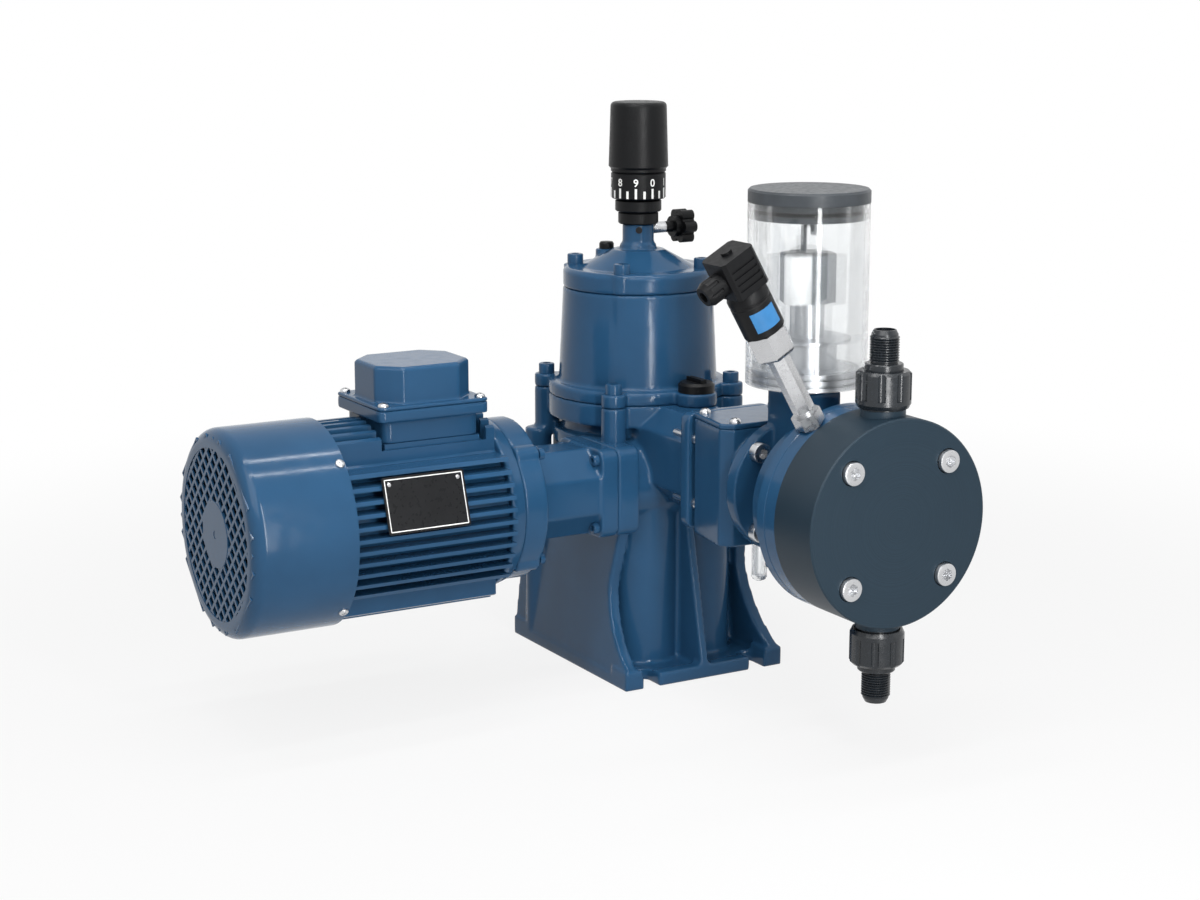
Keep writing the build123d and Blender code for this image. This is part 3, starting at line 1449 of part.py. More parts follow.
lid_body, terminal_gland_line = terminal_lid_body()
save("terminal_box", terminal_box())
save("terminal_box_lid", lid_body)
save("terminal_box_screws", *terminal_screws())
save("motor_cable_gland", terminal_gland_body(terminal_gland_line))
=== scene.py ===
import math
from contextlib import contextmanager

import bmesh
import bpy
import numpy as np
from bpy.props import FloatProperty, FloatVectorProperty, IntProperty, PointerProperty
from mathutils import Matrix, Vector


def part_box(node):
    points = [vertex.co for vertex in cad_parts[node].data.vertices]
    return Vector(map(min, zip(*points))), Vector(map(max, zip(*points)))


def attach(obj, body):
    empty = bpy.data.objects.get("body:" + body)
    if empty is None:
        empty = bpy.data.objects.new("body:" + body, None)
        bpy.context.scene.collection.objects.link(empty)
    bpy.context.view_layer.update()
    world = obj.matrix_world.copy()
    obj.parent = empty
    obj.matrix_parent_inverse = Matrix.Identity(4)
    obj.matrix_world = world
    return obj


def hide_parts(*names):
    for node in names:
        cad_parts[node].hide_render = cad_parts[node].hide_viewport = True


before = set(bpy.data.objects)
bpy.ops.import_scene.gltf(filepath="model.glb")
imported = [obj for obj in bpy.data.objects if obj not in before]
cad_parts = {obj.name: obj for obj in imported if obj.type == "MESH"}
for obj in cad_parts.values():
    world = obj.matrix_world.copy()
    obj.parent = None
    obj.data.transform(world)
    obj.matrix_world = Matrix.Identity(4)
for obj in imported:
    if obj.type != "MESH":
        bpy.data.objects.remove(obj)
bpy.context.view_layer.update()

bl_info = {
    "name": "Metering Pump",
    "version": (1, 0, 0),
    "blender": (4, 5, 0),
    "location": "3D View > Sidebar > Pump",
    "description": "Dresses the frame of a diaphragm metering pump with its castings, fasteners and finishes",
    "category": "Object",
}

MM = 0.001
X, Y, Z = Vector((1, 0, 0)), Vector((0, 1, 0)), Vector((0, 0, 1))
WHITE = (1, 1, 1, 1)
DIAGONALS = tuple(math.radians(angle) for angle in (45, 135, 225, 315))


# ------------------------------------------------------------------ places read from the frame
def middle(node):
    low, high = (Vector(corner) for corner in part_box(node))
    return (low + high) / 2


def low(node):
    return Vector(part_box(node)[0])


def high(node):
    return Vector(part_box(node)[1])


motor_axis = middle("fan_cover")
head_axis = middle("pump_head")
knob_axis = middle("stroke_knob")
reservoir_axis = middle("reservoir_tube")


def upright(origin, axis, side=None):
    """A matrix whose Z runs along axis and whose X lies toward side."""
    axis = Vector(axis).normalized()
    side = Vector(side) if side else (X if abs(axis.x) < 0.9 else Y)
    across = (side - axis * side.dot(axis)).normalized()
    turn = Matrix((across, axis.cross(across), axis)).transposed().to_4x4()
    return Matrix.Translation(Vector(origin)) @ turn


# ------------------------------------------------------------------ modelling
def clear_selection():
    if bpy.context.object and bpy.context.object.mode != "OBJECT":
        bpy.ops.object.mode_set(mode="OBJECT")
    bpy.ops.object.select_all(action="DESELECT")


def take(piece):
    clear_selection()
    piece.select_set(True)
    bpy.context.view_layer.objects.active = piece
    return piece


def settle(piece, matrix=None):
    """Move a piece by matrix and put its place into its mesh."""
    take(piece)
    if matrix:
        piece.matrix_world = matrix @ piece.matrix_world
    bpy.ops.object.transform_apply(location=True, rotation=True, scale=True)
    return piece


def started(name):
    piece = bpy.context.active_object
    piece.name = name
    piece.data.name = name
    return settle(piece)


@contextmanager
def editing(piece):
    """The piece's mesh in edit mode, with nothing selected."""
    take(piece)
    bpy.ops.object.mode_set(mode="EDIT")
    bpy.ops.mesh.select_mode(type="VERT")
    bpy.ops.mesh.select_all(action="DESELECT")
    yield bmesh.from_edit_mesh(piece.data)
    bpy.ops.object.mode_set(mode="OBJECT")


def pick(mesh, items, test):
    """Select the faces or edges of a mesh in edit mode that pass the test."""
    bpy.ops.mesh.select_mode(type="FACE" if items is mesh.faces else "EDGE")
    bpy.ops.mesh.select_all(action="DESELECT")
    for item in items:
        if test(item):
            item.select_set(True)
    mesh.select_flush_mode()


def modify(piece, kind, **settings):
    take(piece)
    modifier = piece.modifiers.new(kind.title(), kind)
    for name, value in settings.items():
        setattr(modifier, name, value)
    bpy.ops.object.modifier_apply(modifier=modifier.name)
    return piece


def carve(piece, *cutters):
    for cutter in cutters:
        modify(piece, "BOOLEAN", operation="DIFFERENCE", object=cutter, solver="EXACT")
        bpy.data.objects.remove(cutter)
    return piece


def copy_of(piece, name, matrix):
    twin = bpy.data.objects.new(name, piece.data.copy())
    bpy.context.collection.objects.link(twin)
    return settle(twin, matrix)


def joined(name, pieces):
    clear_selection()
    for piece in pieces:
        piece.select_set(True)
    bpy.context.view_layer.objects.active = pieces[0]
    if len(pieces) > 1:
        bpy.ops.object.join()
    return started(name)


def outward(piece):
    with editing(piece):
        bpy.ops.mesh.select_all(action="SELECT")
        bpy.ops.mesh.remove_doubles(threshold=1e-6)
        bpy.ops.mesh.normals_make_consistent(inside=False)
    return piece


def rounded(piece, width, segments=2, angle=30):
    """Bevel the edges that are sharper than angle."""
    return modify(piece, "BEVEL", width=width, segments=segments, limit_method="ANGLE",
                  angle_limit=math.radians(angle), harden_normals=False)


def smoothed(piece, angle=35):
    take(piece)
    bpy.ops.object.shade_smooth_by_angle(angle=math.radians(angle))
    return piece


def turned(name, outline, sides=96, ring=False):
    """A round piece about Z: a disc, or a ring, is drawn through the (radius, height) points of its outline."""
    radius, height = outline[0]
    clear_selection()
    bpy.ops.mesh.primitive_circle_add(vertices=sides, radius=radius, fill_type="NOTHING" if ring else "NGON",
                                      location=(0, 0, height))
    if ring:
        outline = outline + [outline[0]]
    piece = started(name)
    with editing(piece):
        bpy.ops.mesh.select_all(action="SELECT")
        for next_radius, next_height in outline[1:]:
            bpy.ops.mesh.extrude_region_move(TRANSFORM_OT_translate={"value": (0, 0, next_height - height)})
            scale = next_radius / radius
            bpy.ops.transform.resize(value=(scale, scale, 1), center_override=(0, 0, next_height))
            radius, height = next_radius, next_height
    return outward(piece)


def bar(name, width, depth, length, start=0.0, corner=0.0, segments=4):
    """A block about Z with its upright edges rounded."""
    clear_selection()
    bpy.ops.mesh.primitive_cube_add(size=1, location=(0, 0, start + length / 2), scale=(width, depth, length))
    piece = started(name)
    if corner:
        with editing(piece) as mesh:
            pick(mesh, mesh.edges, lambda edge: abs((edge.verts[0].co - edge.verts[1].co).z) > length / 2)
            bpy.ops.mesh.bevel(offset=corner, segments=segments)
    return piece


def drum(name, radius, length, start=0.0, sides=64):
    clear_selection()
    bpy.ops.mesh.primitive_cylinder_add(vertices=sides, radius=radius, depth=length,
                                        location=(0, 0, start + length / 2))
    return started(name)


def arc(centre_radius, centre_height, radius, start, end, steps=5):
    """Points of an outline's round corner, in degrees from outward to up."""
    return [(centre_radius + radius * math.cos(math.radians(start + (end - start) * i / steps)),
             centre_height + radius * math.sin(math.radians(start + (end - start) * i / steps)))
            for i in range(steps + 1)]


def wrapped(piece, radius, centre, height):
    """Lay a flat piece in XY round an upright cylinder, facing outward, its X round the cylinder."""
    for vertex in piece.data.vertices:
        angle = vertex.co.x / radius
        reach = radius + vertex.co.z
        vertex.co = (centre.x + reach * math.cos(angle), centre.y + reach * math.sin(angle), height + vertex.co.y)
    return piece


# ------------------------------------------------------------------ finishes
def linear(red, green, blue):
    """A colour given in 0 to 255 as the light that it reflects."""
    return tuple((c / 255 / 12.92) if c < 11 else ((c / 255 + 0.055) / 1.055) ** 2.4 for c in (red, green, blue))


class Wire:
    """A value that runs between a finish's nodes, so that sums on it read as arithmetic."""

    def __init__(self, finish, socket):
        self.finish = finish
        self.socket = socket

    def _maths(self, operation, first, second):
        return self.finish.node("ShaderNodeMath", {"operation": operation}, {0: first, 1: second})

    def __add__(self, other):
        return self._maths("ADD", self, other)

    def __sub__(self, other):
        return self._maths("SUBTRACT", self, other)

    def __rsub__(self, other):
        return self._maths("SUBTRACT", other, self)

    def __mul__(self, other):
        return self._maths("MULTIPLY", self, other)

    def __truediv__(self, other):
        return self._maths("DIVIDE", self, other)

    def __pow__(self, other):
        return self._maths("POWER", self, other)

    def __gt__(self, other):
        return self._maths("GREATER_THAN", self, other)

    def __lt__(self, other):
        return self._maths("LESS_THAN", self, other)

    __radd__ = __add__
    __rmul__ = __mul__


class Finish:
    """A material with one Principled shader, built node by node."""

    def __init__(self, name, roughness=0.5, metallic=0.0, **settings):
        self.material = bpy.data.materials.new(name)
        self.material.use_nodes = True
        self.tree = self.material.node_tree
        self.tree.nodes.clear()
        self.shader = self.tree.nodes.new("ShaderNodeBsdfPrincipled")
        output = self.tree.nodes.new("ShaderNodeOutputMaterial")
        self.tree.links.new(self.shader.outputs[0], output.inputs[0])
        for socket, value in {"Roughness": roughness, "Metallic": metallic, **settings}.items():
            self.set(socket, value)
        self.place = self.node("ShaderNodeTexCoord", output="Object")

    def set(self, socket, value):
        self._join(self.shader.inputs[socket], value)

    def _join(self, socket, value):
        if isinstance(value, Wire):
            self.tree.links.new(value.socket, socket)
        else:
            socket.default_value = value

    def node(self, kind, settings=None, inputs=None, output=0):
        made = self.tree.nodes.new(kind)
        for name, value in (settings or {}).items():
            if name == "stops":
                for stop, (position, colour) in zip(self._stops(made, len(value)), value):
                    stop.position, stop.color = position, colour
            else:
                setattr(made, name, value)
        for name, value in (inputs or {}).items():
            self._join(made.inputs[name], value)
        return Wire(self, made.outputs[output])

    @staticmethod
    def _stops(ramp, count):
        elements = ramp.color_ramp.elements
        while len(elements) < count:
            elements.new(1.0)
        return elements

    def noise(self, size, detail=3.0, at=None, roughness=0.5):
        """Noise whose features are about size metres across."""
        return self.node("ShaderNodeTexNoise", {}, {
            "Vector": at or self.place, "Scale": 1 / size, "Detail": detail, "Roughness": roughness})

    def mix(self, factor, first, second):
        return self.node("ShaderNodeMix", {"data_type": "RGBA"}, {0: factor, 6: first, 7: second}, 2)

    def ramp(self, value, *stops):
        return self.node("ShaderNodeValToRGB", {"stops": stops}, {0: value})

    def between(self, value, low_in, high_in, low_out, high_out):
        return self.node("ShaderNodeMapRange", {}, {
            0: value, 1: low_in, 2: high_in, 3: low_out, 4: high_out})

    def bump(self, height, depth, below=None):
        """Height in 0 to 1 raised by depth metres, on top of another bump."""
        inputs = {"Height": height, "Distance": depth, "Strength": 1.0}
        if below:
            inputs["Normal"] = below
        return self.node("ShaderNodeBump", {}, inputs)

    def from_axis(self, centre, axis):
        """Distance from a line through centre along axis, in metres."""
        flat = [0.0 if abs(c) > 0.5 else 1.0 for c in axis]
        offset = self.node("ShaderNodeVectorMath", {"operation": "SUBTRACT"}, {0: self.place, 1: tuple(centre)})
        across = self.node("ShaderNodeVectorMath", {"operation": "MULTIPLY"}, {0: offset, 1: tuple(flat)})
        return self.node("ShaderNodeVectorMath", {"operation": "LENGTH"}, {0: across}, "Value")


def shade(colour, factor):
    return tuple(c * factor for c in colour[:3]) + (1.0,)


def enamel(name, colour, gloss=0.16, flow=0.00005):
    """Sprayed gloss enamel over a casting: a little orange peel, a slow waviness and faint cloudiness."""
    finish = Finish(name, **{"Specular IOR Level": 0.18, "Coat Weight": 0.04, "Coat Roughness": 0.03})
    cloud = finish.between(finish.noise(0.05, 4.0), 0.3, 0.7, 0.0, 1.0)
    tone = finish.mix(cloud, shade(colour, 0.93), shade(colour, 1.08))
    finish.set("Base Color", tone)
    finish.set("Roughness", finish.between(finish.noise(0.009, 3.0), 0.3, 0.7, gloss - 0.04, gloss + 0.06))
    finish.set("Normal", finish.bump(finish.noise(0.011, 2.0), flow))
    return finish.material


def moulded(name, colour, roughness=0.42, grain=0.0006, depth=0.00003, specular=0.18):
    """Moulded plastic with a fine grain."""
    finish = Finish(name, **{"Specular IOR Level": specular})
    cloud = finish.between(finish.noise(0.02, 3.0), 0.3, 0.7, 0.0, 1.0)
    finish.set("Base Color", finish.mix(cloud, shade(colour, 0.85), shade(colour, 1.15)))
    finish.set("Roughness", finish.between(finish.noise(0.004, 2.0), 0.3, 0.7, roughness - 0.05, roughness + 0.07))
    finish.set("Normal", finish.bump(finish.noise(grain, 2.0), depth))
    return finish.material


def machined(name, colour, centre, axis, roughness=0.3, metallic=1.0, pitch=0.0007, depth=0.00002):
    """A face turned on a lathe about the given axis, with the fine rings that the tool leaves."""
    finish = Finish(name, metallic=metallic, **{"Specular IOR Level": 0.25})
    reach = finish.from_axis(centre, axis)
    rings = finish.node("ShaderNodeTexNoise", {"noise_dimensions": "1D"}, {
        "W": reach / pitch, "Scale": 1.0, "Detail": 3.0})
    bands = finish.node("ShaderNodeTexNoise", {"noise_dimensions": "1D"}, {
        "W": reach / (pitch * 14), "Scale": 1.0, "Detail": 1.0})
    tone = finish.mix(finish.between(rings, 0.3, 0.7, 0.0, 1.0), shade(colour, 0.86), shade(colour, 1.12))
    finish.set("Base Color", finish.mix(bands * 0.25, tone, shade(colour, 0.8)))
    finish.set("Roughness", finish.between(bands, 0.3, 0.7, roughness - 0.05, roughness + 0.06))
    finish.set("Normal", finish.bump(rings, depth))
    return finish.material


def brushed(name, colour, roughness=0.28):
    """Bright steel with faint drawn lines and handling marks."""
    finish = Finish(name, metallic=1.0)
    streak = finish.node("ShaderNodeMapping", {}, {"Vector": finish.place, "Scale": (20.0, 260.0, 260.0)})
    lines = finish.node("ShaderNodeTexNoise", {}, {"Vector": streak, "Scale": 1.0, "Detail": 1.0})
    marks = finish.noise(0.02, 3.0)
    finish.set("Base Color", finish.mix(marks, shade(colour, 0.82), shade(colour, 1.05)))
    finish.set("Roughness", finish.between(lines, 0.3, 0.7, roughness - 0.05, roughness + 0.06))
    finish.set("Normal", finish.bump(lines, 0.000003))
    return finish.material


def clear_plastic(name, colour, tint=0.98):
    """Clear acrylic, with a few fine scratches that catch the light."""
    finish = Finish(name, **{"Transmission Weight": 1.0, "IOR": 1.45, "Alpha": 0.7})
    haze = finish.between(finish.noise(0.03, 3.0), 0.3, 0.7, 0.0, 1.0)
    finish.set("Base Color", finish.mix(haze, shade(colour, tint), shade(colour, 1.0)))
    scratch = finish.node("ShaderNodeMapping", {}, {"Vector": finish.place, "Scale": (900.0, 900.0, 30.0)})
    finish.set("Roughness", finish.between(finish.node("ShaderNodeTexNoise", {}, {
        "Vector": scratch, "Scale": 1.0, "Detail": 1.0}), 0.62, 0.8, 0.015, 0.12))
    return finish.material


def laminated(name, colour, sheet=0.0009):
    """A stack of thin steel sheets along the motor's axis."""
    finish = Finish(name, metallic=0.9, roughness=0.45)
    run = finish.node("ShaderNodeSeparateXYZ", {}, {0: finish.place}, "Y")
    joint = finish.node("ShaderNodeMath", {"operation": "FRACT"}, {0: run / sheet}) > 0.8
    finish.set("Base Color", finish.mix(joint, shade(colour, 1.0), shade(colour, 0.35)))
    finish.set("Normal", finish.bump(1 - joint, 0.00005))
    return finish.material


# ------------------------------------------------------------------ what a user may change
class PumpFinishes(bpy.types.PropertyGroup):
    enamel: FloatVectorProperty(
        name="Enamel", description="Gloss enamel on the castings", subtype="COLOR", min=0, max=1,
        default=linear(37, 75, 108))
    head: FloatVectorProperty(
        name="Head", description="Turned plastic of the pump head", subtype="COLOR", min=0, max=1,
        default=linear(27, 44, 56))
    black: FloatVectorProperty(
        name="Black plastic", description="Knobs, nuts and plugs", subtype="COLOR", min=0, max=1,
        default=linear(11, 12, 14))
    steel: FloatVectorProperty(
        name="Steel", description="Screws and fittings", subtype="COLOR", min=0, max=1,
        default=linear(205, 206, 208))
    label: FloatVectorProperty(
        name="Label", description="Plain label on the pressure switch", subtype="COLOR", min=0, max=1,
        default=linear(58, 118, 170))


class PumpSizes(bpy.types.PropertyGroup):
    casting_grain: FloatProperty(
        name="Casting corner", description="Size of the soft corners of the castings",
        default=1.5 * MM, min=0.5 * MM, unit="LENGTH")
    grille_pitch: FloatProperty(
        name="Grille pitch", description="Side of one diamond of the fan cover's grille",
        default=9.4 * MM, min=6 * MM, unit="LENGTH")
    joint_side: FloatProperty(
        name="Joint flange", description="Side of the square flanges where the drive joins the casing",
        default=71 * MM, min=60 * MM, unit="LENGTH")
    joint_corner: FloatProperty(
        name="Joint corner", description="Radius of the joint flange's corners", default=9 * MM, unit="LENGTH")
    thread_pitch: FloatProperty(
        name="Thread pitch", description="Pitch of the pipe threads", default=1.814 * MM, unit="LENGTH")
    scale_marks: IntProperty(
        name="Scale marks", description="Marks round the stroke scale", default=20, min=4)
    plate_width: FloatProperty(
        name="Plate width", description="Width of the motor's blank plate", default=66 * MM, unit="LENGTH")
    plate_height: FloatProperty(
        name="Plate height", description="Height of the motor's blank plate", default=42 * MM, unit="LENGTH")


class PumpStudio(bpy.types.PropertyGroup):
    camera_place: FloatVectorProperty(
        name="Camera", description="Where the camera stands", subtype="TRANSLATION", unit="LENGTH",
        default=(1.5928, -0.9542, 0.5700))
    camera_target: FloatVectorProperty(
        name="Target", description="What the camera looks at", subtype="TRANSLATION", unit="LENGTH",
        default=(-0.0455, -0.0095, 0.1598))
    lens: FloatProperty(name="Lens", description="Focal length", default=68.88, unit="CAMERA")
    key_power: FloatProperty(name="Key lamp", description="Power of the main lamp", default=15.0, unit="POWER")
    fill_power: FloatProperty(name="Fill lamp", description="Power of the fill lamp", default=2.0, unit="POWER")
    surround: FloatProperty(name="Surround", description="Light from all round", default=0.24, min=0)
    strip_power: FloatProperty(name="Strip lamps", description="Power of each strip lamp", default=7.0, unit="POWER")


finishes = {}


def finish_of(name):
    return finishes[name]


def paint(piece, material):
    if piece.data.materials:
        for slot in piece.material_slots:
            slot.material = material
    else:
        piece.data.materials.append(material)
    return piece


def dress(piece, body, node, material, *replaced):
    """Give a finished piece its finish and the body that it moves with, and hide the parts that it replaces; node,
    the slot that it is repainted by, is not used.
    """
    while piece.data.materials:
        piece.data.materials.pop()
    paint(piece, finish_of(material))
    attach(piece, body)
    if replaced:
        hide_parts(*replaced)
    return piece


ENAMELLED = ("gear_casing", "worm_end_cover", "stroke_housing", "top_cap", "casing_screws", "hydraulic_box",
             "box_lid", "manifold_block", "diaphragm_carrier", "motor_adapter", "drive_end_shield",
             "rear_end_shield", "motor_frame", "fan_cover", "terminal_box", "terminal_box_lid",
             "motor_cable_gland", "flange_screws")
BLACK = ("oil_filler_plug", "breather_plug", "graduated_sleeve", "lock_knob", "cooling_fan", "sensor_plug",
         "sensor_gland", "pressure_switch")
BRIGHT = ("adjusting_spindle", "slanted_crank", "eccentric_sleeve", "thrust_cup", "plunger", "box_lid_screws",
          "manifold_screws", "head_screws", "sensor_stem", "fan_cover_screws", "terminal_box_screws",
          "gear_bearings", "motor_bearings", "worm_shaft", "rotor_shaft")
RUBBER = ("plunger_seal", "reservoir_seal")
CLEAR = ("reservoir_tube", "drain_tube")
VALVE_ENDS = ("discharge_nipple", "discharge_union_nut", "suction_nipple", "suction_union_nut")


class PUMP_OT_finishes(bpy.types.Operator):
    """Mix the finishes and lay them on the frame's own parts"""

    bl_idname = "pump.finishes"
    bl_label = "Finishes"

    def execute(self, context):
        colours = context.scene.pump_finishes
        steel = tuple(colours.steel)
        finishes.update({
            "enamel": enamel("gloss_enamel", colours.enamel),
            "sheet_enamel": enamel("sheet_enamel", colours.enamel, 0.14, 0.00002),
            "black": moulded("black_plastic", colours.black),
            "satin_black": moulded("satin_black", linear(20, 25, 30), 0.26, 0.0009, 0.00001, 0.5),
            "grained_black": moulded("grained_black", colours.black, 0.38, 0.0011, 0.00012),
            "lid_grey": moulded("grey_plastic", linear(62, 66, 70), 0.36, 0.0008, 0.00002),
            "bright": brushed("bright_steel", steel),
            "bronze": machined("bronze", linear(176, 132, 70), knob_axis, Z, 0.35),
            "head": machined("turned_head", colours.head, head_axis, X, 0.42, 0.0, 0.0008, 0.00004),
            "relief": machined("turned_aluminium", linear(190, 192, 195), reservoir_axis, Z, 0.3),
            "grey_metal": moulded("grey_metal", linear(104, 108, 112), 0.4, 0.001, 0.00002),
            "nylon": moulded("white_nylon", linear(244, 245, 245), 0.4, 0.001, 0.00002),
            "rubber": moulded("black_rubber", linear(24, 24, 25), 0.6, 0.0005, 0.00002),
            "acrylic": clear_plastic("clear_acrylic", linear(250, 252, 253)),
            "sheets": laminated("steel_sheets", linear(120, 122, 126)),
            "label": moulded("label_blue", colours.label, 0.35, 0.002, 0.000005),
            "print": moulded("white_print", linear(238, 238, 236), 0.5, 0.001, 0.000005),
            "plate": moulded("black_plate", linear(20, 21, 23), 0.3, 0.002, 0.000005),
        })
        groups = {
            "enamel": ENAMELLED, "black": BLACK, "bright": BRIGHT, "rubber": RUBBER, "acrylic": CLEAR,
            "nylon": ("diaphragm",), "satin_black": VALVE_ENDS, "grained_black": ("stroke_knob",),
            "head": ("pump_head",), "relief": ("reservoir_base",), "grey_metal": ("relief_valve",), "lid_grey": ("reservoir_lid",),
            "bronze": ("worm_wheel",), "sheets": ("stator_core", "rotor_core"),
        }
        for finish, nodes in groups.items():
            for node in nodes:
                paint(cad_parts[node], finish_of(finish))
        for node in ("suction_ball", "discharge_ball"):
            paint(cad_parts[node], finish_of("nylon"))
        return {"FINISHED"}


# ------------------------------------------------------------------ castings
CASTINGS = {"gear_casing": 1.0, "stroke_housing": 0.9, "top_cap": 0.8,
            "drive_end_shield": 0.8, "rear_end_shield": 0.8, "hydraulic_box": 0.7, "box_lid": 0.5,
            "manifold_block": 0.8, "terminal_box": 0.7, "terminal_box_lid": 0.6}


PIECE_TRIANGLES = 185000


def cast_copy(node, grain):
    """A copy of a casting whose corners are softened as sand moulds and paint leave them."""
    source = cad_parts[node]
    piece = bpy.data.objects.new(node + "_cast", source.data.copy())
    bpy.context.collection.objects.link(piece)
    with editing(piece):
        bpy.ops.mesh.select_all(action="SELECT")
        bpy.ops.mesh.remove_doubles(threshold=1e-6)
    modify(piece, "REMESH", mode="VOXEL", voxel_size=grain, use_smooth_shade=True)
    modify(piece, "SMOOTH", factor=0.5, iterations=6)
    triangles = 2 * len(piece.data.polygons)
    if triangles > PIECE_TRIANGLES:
        modify(piece, "DECIMATE", ratio=PIECE_TRIANGLES / triangles)
    return piece


class PUMP_OT_castings(bpy.types.Operator):
    """Model the castings with soft corners"""

    bl_idname = "pump.castings"
    bl_label = "Castings"

    def execute(self, context):
        grain = context.scene.pump_sizes.casting_grain
        for node, fineness in CASTINGS.items():
            piece = cast_copy(node, grain * fineness)
            take(piece)
            bpy.ops.object.shade_smooth()
            dress(piece, "pump", node, "enamel", node)
        return {"FINISHED"}


# ------------------------------------------------------------------ screws
def screw_places(node):
    """For each screw of a node: the frame of its seat, its head's radius and height, and its shank's length."""
    mesh = bmesh.new()
    mesh.from_mesh(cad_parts[node].data)
    bmesh.ops.remove_doubles(mesh, verts=mesh.verts, dist=1e-6)
    waiting, places = set(mesh.verts), []
    while waiting:
        group, front = set(), [waiting.pop()]
        while front:
            vertex = front.pop()
            group.add(vertex)
            for edge in vertex.link_edges:
                other = edge.other_vert(vertex)
                if other in waiting:
                    waiting.remove(other)
                    front.append(other)
        places.append(_screw_place(np.array([vertex.co for vertex in group])))
    mesh.free()
    return places


def _screw_place(points):
    spread, directions = np.linalg.eigh(np.cov((points - points.mean(0)).T))
    odd = 0 if spread[1] - spread[0] > spread[2] - spread[1] else 2
    axis = Vector(directions[:, odd])
    centre = Vector((points.max(0) + points.min(0)) / 2)
    along = np.array([(Vector(point) - centre).dot(axis) for point in points])
    reach = np.array([((Vector(point) - centre) - axis * a).length for point, a in zip(points, along)])
    head = along[reach > reach.max() - 1e-5]
    if abs(head.max() - along.min()) < abs(along.max() - head.min()):
        axis, along, head = -axis, -along, -head
    seat = head.min()
    return upright(centre + axis * seat, axis), reach.max(), along.max() - seat, seat - along.min()


def socket_screw(name, radius, head, shank):
    """A cap screw about Z with a hexagon socket."""
    edge = radius * 0.14
    piece = turned(name, [(radius * 0.55, -shank), (radius * 0.55, 0), (radius, 0), (radius, head - edge),
                          (radius - edge * 0.3, head - edge * 0.3), (radius - edge, head)], 40)
    clear_selection()
    bpy.ops.mesh.primitive_cylinder_add(vertices=6, radius=radius * 0.55, depth=head, location=(0, 0, head * 0.95))
    return smoothed(carve(piece, started("socket")), 28)


def pan_screw(name, radius, head, shank):
    """A domed screw about Z with a cross recess."""
    dome = [(radius * math.cos(a), head * 0.25 + head * 0.75 * math.sin(a))
            for a in (math.radians(10 * i) for i in range(9))]
    piece = turned(name, [(radius * 0.5, -shank), (radius * 0.5, 0), (radius, 0)] + dome, 32)
    wide = bar("slot_a", radius * 1.1, radius * 0.24, head, head * 0.62)
    deep = bar("slot_b", radius * 0.24, radius * 1.1, head, head * 0.62)
    return smoothed(carve(piece, wide, deep), 28)


def washer(name, radius, thickness):
    edge = thickness * 0.3
    return smoothed(turned(name, [(radius * 0.6, 0), (radius, 0), (radius, thickness - edge),
                                  (radius - edge, thickness), (radius * 0.6, thickness)], 48), 28)


class PUMP_OT_screws(bpy.types.Operator):
    """Model the screws, each kind once, and set them in their places"""

    bl_idname = "pump.screws"
    bl_label = "Screws"

    def execute(self, context):
        kinds = {"casing_screws": (socket_screw, "enamel"), "flange_screws": (socket_screw, "enamel"),
                 "manifold_screws": (socket_screw, "bright"), "head_screws": (socket_screw, "bright"),
                 "box_lid_screws": (pan_screw, "bright"), "fan_cover_screws": (pan_screw, "bright"),
                 "terminal_box_screws": (pan_screw, "bright")}
        for node, (model, finish) in kinds.items():
            places = screw_places(node)
            _, radius, head, shank = places[0]
            pattern = model(node + "_pattern", radius, head, shank)
            copies = [copy_of(pattern, node + "_copy", place[0]) for place in places]
            bpy.data.objects.remove(pattern)
            if node == "flange_screws":
                front = [c for c, place in zip(copies, places) if place[0].translation.x > 0.1]
                rest = [c for c in copies if c not in front]
                dress(joined("box_flange_screws", front), "pump", node, "bright")
                dress(joined("motor_flange_screws", rest), "pump", node, finish, node)
                continue
            dress(joined(node + "_model", copies), "pump", node, finish, node)
        return {"FINISHED"}


# ------------------------------------------------------------------ motor
def lug_joint(name, side, corner, length, start):
    """The square flange of a joint in the drive, its corners rounded."""
    return bar(name, side, side, length, start, corner)


def cast(piece, grain):
    """Soften a piece's corners as sand moulds and paint leave them."""
    modify(piece, "REMESH", mode="VOXEL", voxel_size=grain, use_smooth_shade=True)
    modify(piece, "SMOOTH", factor=0.5, iterations=6)
    take(piece)
    bpy.ops.object.shade_smooth()
    return piece


def adapter_model(sizes):
    """An eight-sided barrel between the casing's square flange and the motor's round one."""
    joint, end = high("motor_adapter").y, low("motor_adapter").y
    length = joint - end
    disc, lug_pitch, lug = 22 * MM, 58 * MM, 8 * MM
    barrel = bar("barrel", 69 * MM, 69 * MM, length - disc + 1 * MM, 0, 20 * MM, 1)
    parts = [barrel, lug_joint("tail", sizes.joint_side, sizes.joint_corner, 15 * MM, 0),
             turned("disc", [(36 * MM, length - disc), (lug_pitch, length - disc), (63 * MM, length - disc + 3 * MM),
                             (63 * MM, length)])]
    for angle in DIAGONALS:
        lobe = drum("lug", lug, disc - 2 * MM, length - disc + 2 * MM, 32)
        parts.append(settle(lobe, Matrix.Translation((lug_pitch * math.cos(angle), lug_pitch * math.sin(angle), 0))))
    piece = cast(joined("adapter_model", parts), sizes.casting_grain * 0.8)
    return settle(piece, upright((motor_axis.x, joint, motor_axis.z), -Y))


def joint_model(sizes):
    """The casing's side of the drive's square joint."""
    thickness = 19 * MM
    joint = high("motor_adapter").y
    piece = cast(lug_joint("casing_joint", sizes.joint_side, sizes.joint_corner, thickness, 0),
                 sizes.casting_grain * 0.8)
    return settle(piece, upright((motor_axis.x, joint + thickness, motor_axis.z), -Y))


